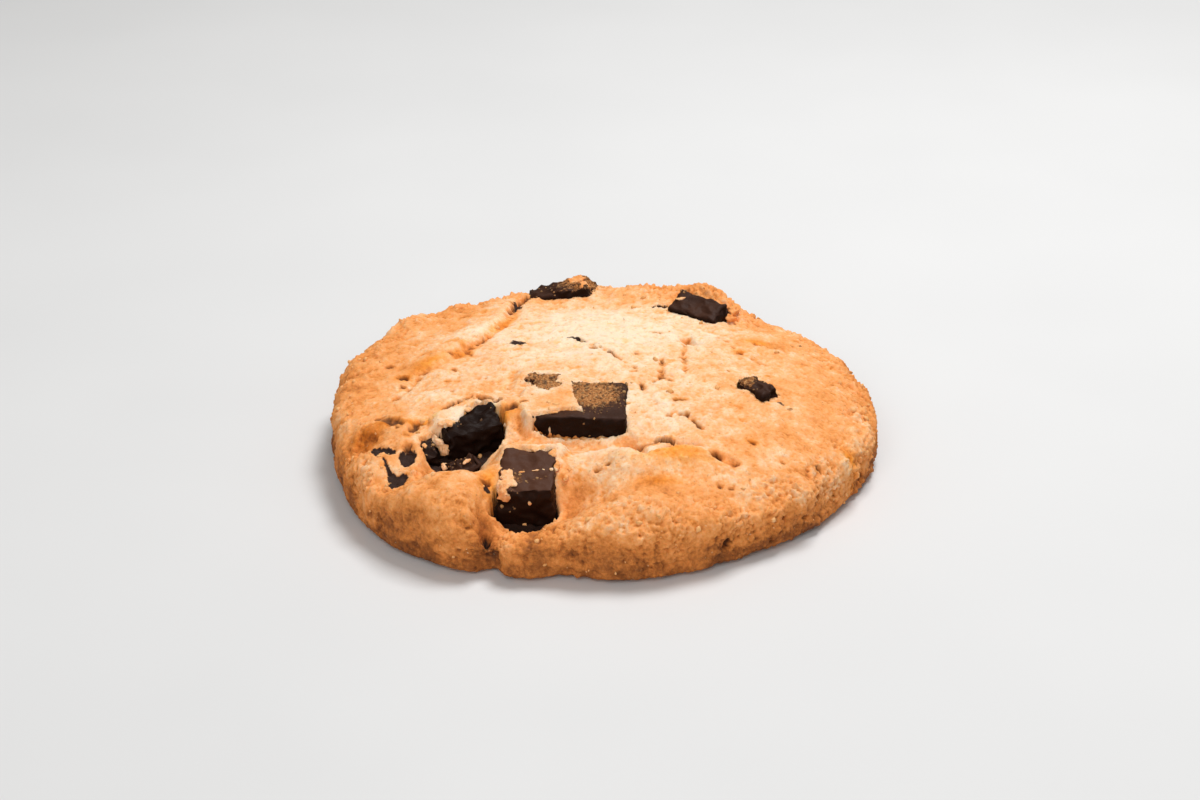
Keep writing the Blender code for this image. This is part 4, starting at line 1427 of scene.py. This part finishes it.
def worn_by(own, half, taper, wear, offset):
    """How far the chunk's surface is pushed out at a place, by its waves, scoops and chipped edges."""
    push = sum(height * wear * noise.noise(own / length + offset) for height, length in CHUNK_WAVES)
    push += SCOOP_DEPTH * wear * (0.2 - abs(noise.noise(own / SCOOP_SIZE + offset * 3)))
    push += CHUNK_GRAIN * noise.noise(own / 0.5 + offset)
    share = own.z / half[2] / 2 + 0.5
    room = [half[axis] * (1 + (taper[axis] - 1) * share) - abs(own[axis]) for axis in range(2)]
    edge = math.exp(-max(sorted([*room, half[2] - abs(own.z)])[1], 0) / EDGE_WIDTH)
    return push - CHIPPING * wear * edge * max(noise.noise(own / 1.3 + offset * 2) + 0.1, 0)


def make_chunk(name, seed, material):
    """A bevelled block of chocolate with uneven faces and worn edges."""
    centre, size, turns, taper = CHUNKS[name]
    wear, bloom_and_top_light = WEAR_BLOOM_AND_TOP_LIGHT[name]
    shape = chunk_block(size, taper)
    offset = Vector((seed * 3.7, seed * 1.9, 0))
    half = np.array(size) / 2
    turned = turned_by(turns)
    for vertex in shape.verts:
        own = vertex.co.copy()
        own.z -= SLANTS.get(name, 0) * max(-own.x / half[0], 0) ** 1.5 * (own.z / size[2] + 0.5)
        push = worn_by(own, half, taper, wear, offset)
        vertex.co = turned @ (own + vertex.normal * push) + Vector(centre)
    places = np.array([v.co for v in shape.verts])
    covered = lapped(places[:, 0], places[:, 1], name)
    for vertex, cover in zip(shape.verts, covered):
        vertex.co.z -= LAP_PRESS * cover * max(vertex.normal.z, 0)
        vertex.co *= MM
    made = new_object(shape, "chocolate" + name.removeprefix("chunk"), material)
    dust = sum(bell(places[:, 0], places[:, 1], *spot) for spot in DUSTED[name])
    facing = np.array([v.normal.z for v in made.data.vertices])
    store(made.data, "dusting", np.clip(dust, 0, 1.2) * np.clip(facing * 1.6 + 0.1, 0, 1))
    # How strongly the bloom and the painted top light show on this chunk.
    store(made.data, "bloom_and_top_light_share", np.full(len(places), bloom_and_top_light))
    hold_inside(made.data)
    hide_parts(name)
    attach(made, "root")
    return made


def chunk_space(name):
    """The matrix from a chunk's own millimetres, measured from the middle of its top, to the cookie's."""
    if not name:
        return Matrix.Identity(4)
    centre, size, turns, _ = CHUNKS[name]
    return Matrix.Translation(centre) @ turned_by(turns).to_4x4() @ Matrix.Translation((0, 0, size[2] / 2))


def make_dabs(material):
    """The dabs of dough on the chocolate, uneven and grown together where they touch."""
    shape = bmesh.new()
    for number, (chunk, place, half_sizes, turn, _) in enumerate(DABS):
        space = chunk_space(chunk) @ Matrix.Translation(place) @ Matrix.Rotation(math.radians(turn), 4, "Z")
        made = bmesh.ops.create_icosphere(shape, subdivisions=5, radius=1)["verts"]
        for vertex in made:
            at = Vector([part * half for part, half in zip(vertex.co, half_sizes)])
            swell = 1 + 0.55 * noise.noise(at / 0.8 + Vector((number, 0, 0))) + 0.35 * noise.noise(at / 0.32)
            vertex.co = space @ (at * swell) * MM
    dabs = new_object(shape, "dabs_of_dough", material)
    fused = dabs.modifiers.new("fused", "REMESH")
    fused.mode = "VOXEL"
    fused.voxel_size = DAB_VOXEL * MM
    freeze(dabs)
    hold_inside(dabs.data)
    dabs.data.shade_smooth()
    places = vertex_places(dabs.data)
    middles = np.array([chunk_space(chunk) @ Vector(place) for chunk, place, *_ in DABS])
    nearest = np.argmin(((places[:, None] - middles[None]) ** 2).sum(axis=2), axis=1)
    store(dabs.data, "browning_and_painted_light", np.array([dab[-1] for dab in DABS])[nearest])
    for name in ("hollow", "stain_and_shade", "crack_and_pit_shade", "golden"):
        store(dabs.data, name, np.zeros(len(places)))
    dabs.data.materials.clear()
    dabs.data.materials.append(material)
    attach(dabs, "root")
    return dabs


def make_crumb(material):
    """One small uneven crumb, a millimetre across, that the scatter trees copy."""
    shape = bmesh.new()
    bmesh.ops.create_uvsphere(shape, u_segments=7, v_segments=5, radius=0.5)
    for vertex in shape.verts:
        vertex.co *= 1 + 0.55 * noise.noise(vertex.co * 2.6 + Vector((1, 0, 0)))
        vertex.co.z *= CRUMB_FLATNESS
        vertex.co *= MM
    return new_object(shape, "crumb", material)


def scatter(name, surfaces, values, crumb, material, numbers):
    """Crumbs strewn over surfaces, as one mesh. The values say how thickly, from 0 to 1."""
    shape = bmesh.new()
    for surface in surfaces:
        shape.from_mesh(surface.data)
    bed = new_object(shape, name, material)
    store(bed.data, "strewn", values)
    grow(bed, scatter_tree(name, material, crumb, numbers), numbers)
    hold_inside(bed.data)
    bed.data.shade_smooth()
    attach(bed, "root")
    return bed


def strewn_on_dough(dough):
    """Crumbs lie thickest along the rim and around the chunks, and thinly on the rest of the top."""
    x, y, z = vertex_places(dough.data).T
    reach = np.hypot(x, y) / RADIUS
    amount = 0.02 + 0.34 * np.clip((reach - 0.86) / 0.06, 0, 1) * np.clip(0.3 + wobble(x, y, 6.0, 5), 0, 1)
    amount *= 1 - bell(x, y, *CLEAN_PLACE)
    amount += sum(bell(x, y, *heap) for heap in HEAPS)
    for chunk in CHUNKS.values():
        _, outside = over_chunk(x, y, chunk)
        amount += 0.30 * np.exp(-((np.maximum(outside, 0) / 1.2) ** 2))
    return np.clip(amount, 0, 1) * (z > 1.0)


def make_floor():
    """The pale floor that the cookie lies on."""
    bpy.ops.mesh.primitive_plane_add(size=4)
    floor = bpy.context.object
    floor.name = "studio_floor"
    material, tree, shader = new_material("pale floor", 0.7)
    colour = colour_ramp(tree, speckle(tree, 60.0, 2.0, 0.6, 0.0), FLOOR_COLOURS)
    feed(tree, shader.inputs["Base Color"], colour)
    floor.data.materials.append(material)


def make_lights():
    for name, place, size, power in LAMPS:
        data = bpy.data.lights.new(name, "AREA")
        data.energy = power
        data.size = size
        lamp = bpy.data.objects.new(name, data)
        lamp.location = place
        lamp.rotation_mode = "QUATERNION"
        lamp.rotation_quaternion = (-Vector(place)).to_track_quat("-Z", "Y")
        bpy.context.scene.collection.objects.link(lamp)
    world = bpy.data.worlds.new("soft_room")
    world.use_nodes = True
    world.node_tree.nodes["Background"].inputs["Color"].default_value = ROOM_COLOUR
    world.node_tree.nodes["Background"].inputs["Strength"].default_value = ROOM_STRENGTH
    bpy.context.scene.world = world
    bpy.context.scene.view_settings.view_transform = "Standard"


def make_camera():
    data = bpy.data.cameras.new("photo_camera")
    data.lens = CAMERA_LENS
    data.sensor_width = SENSOR_WIDTH
    data.clip_start = 0.01
    camera = bpy.data.objects.new("photo_camera", data)
    elevation = math.radians(CAMERA_ELEVATION)
    back = Vector((0.0, -math.cos(elevation), math.sin(elevation)))
    camera.location = Vector(CAMERA_AIM) + back * CAMERA_DISTANCE
    camera.rotation_euler = (math.pi / 2 - elevation, 0.0, 0.0)
    bpy.context.scene.collection.objects.link(camera)
    bpy.context.scene.camera = camera


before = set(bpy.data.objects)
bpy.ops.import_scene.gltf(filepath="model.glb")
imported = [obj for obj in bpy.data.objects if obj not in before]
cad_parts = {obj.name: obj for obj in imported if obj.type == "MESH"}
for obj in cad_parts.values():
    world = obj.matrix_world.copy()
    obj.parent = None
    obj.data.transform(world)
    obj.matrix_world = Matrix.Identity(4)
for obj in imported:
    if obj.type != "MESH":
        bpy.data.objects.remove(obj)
cad_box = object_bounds()

crust = crust_material()
chocolate = chocolate_material()
dough_crumbs = crumb_material("toasted crumbs", DOUGH_CRUMB_COLOURS)
chocolate_crumbs = crumb_material("cocoa crumbs", CHOCOLATE_CRUMB_COLOURS)

dough = make_dough(crust)
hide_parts("dough")
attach(dough, "root")

chunks = [make_chunk(name, seed, chocolate) for seed, name in enumerate(CHUNKS, 1)]
make_dabs(crust)

crumb = make_crumb(dough_crumbs)
scatter("crumbs_on_dough", [dough], strewn_on_dough(dough), crumb, dough_crumbs, DOUGH_CRUMBS)
dust = np.concatenate([read(chunk.data, "dusting") for chunk in chunks])
scatter("crumbs_on_chocolate", chunks, dust, crumb, chocolate_crumbs, CHOCOLATE_CRUMBS)
bpy.data.objects.remove(crumb)

make_floor()
make_lights()
make_camera()
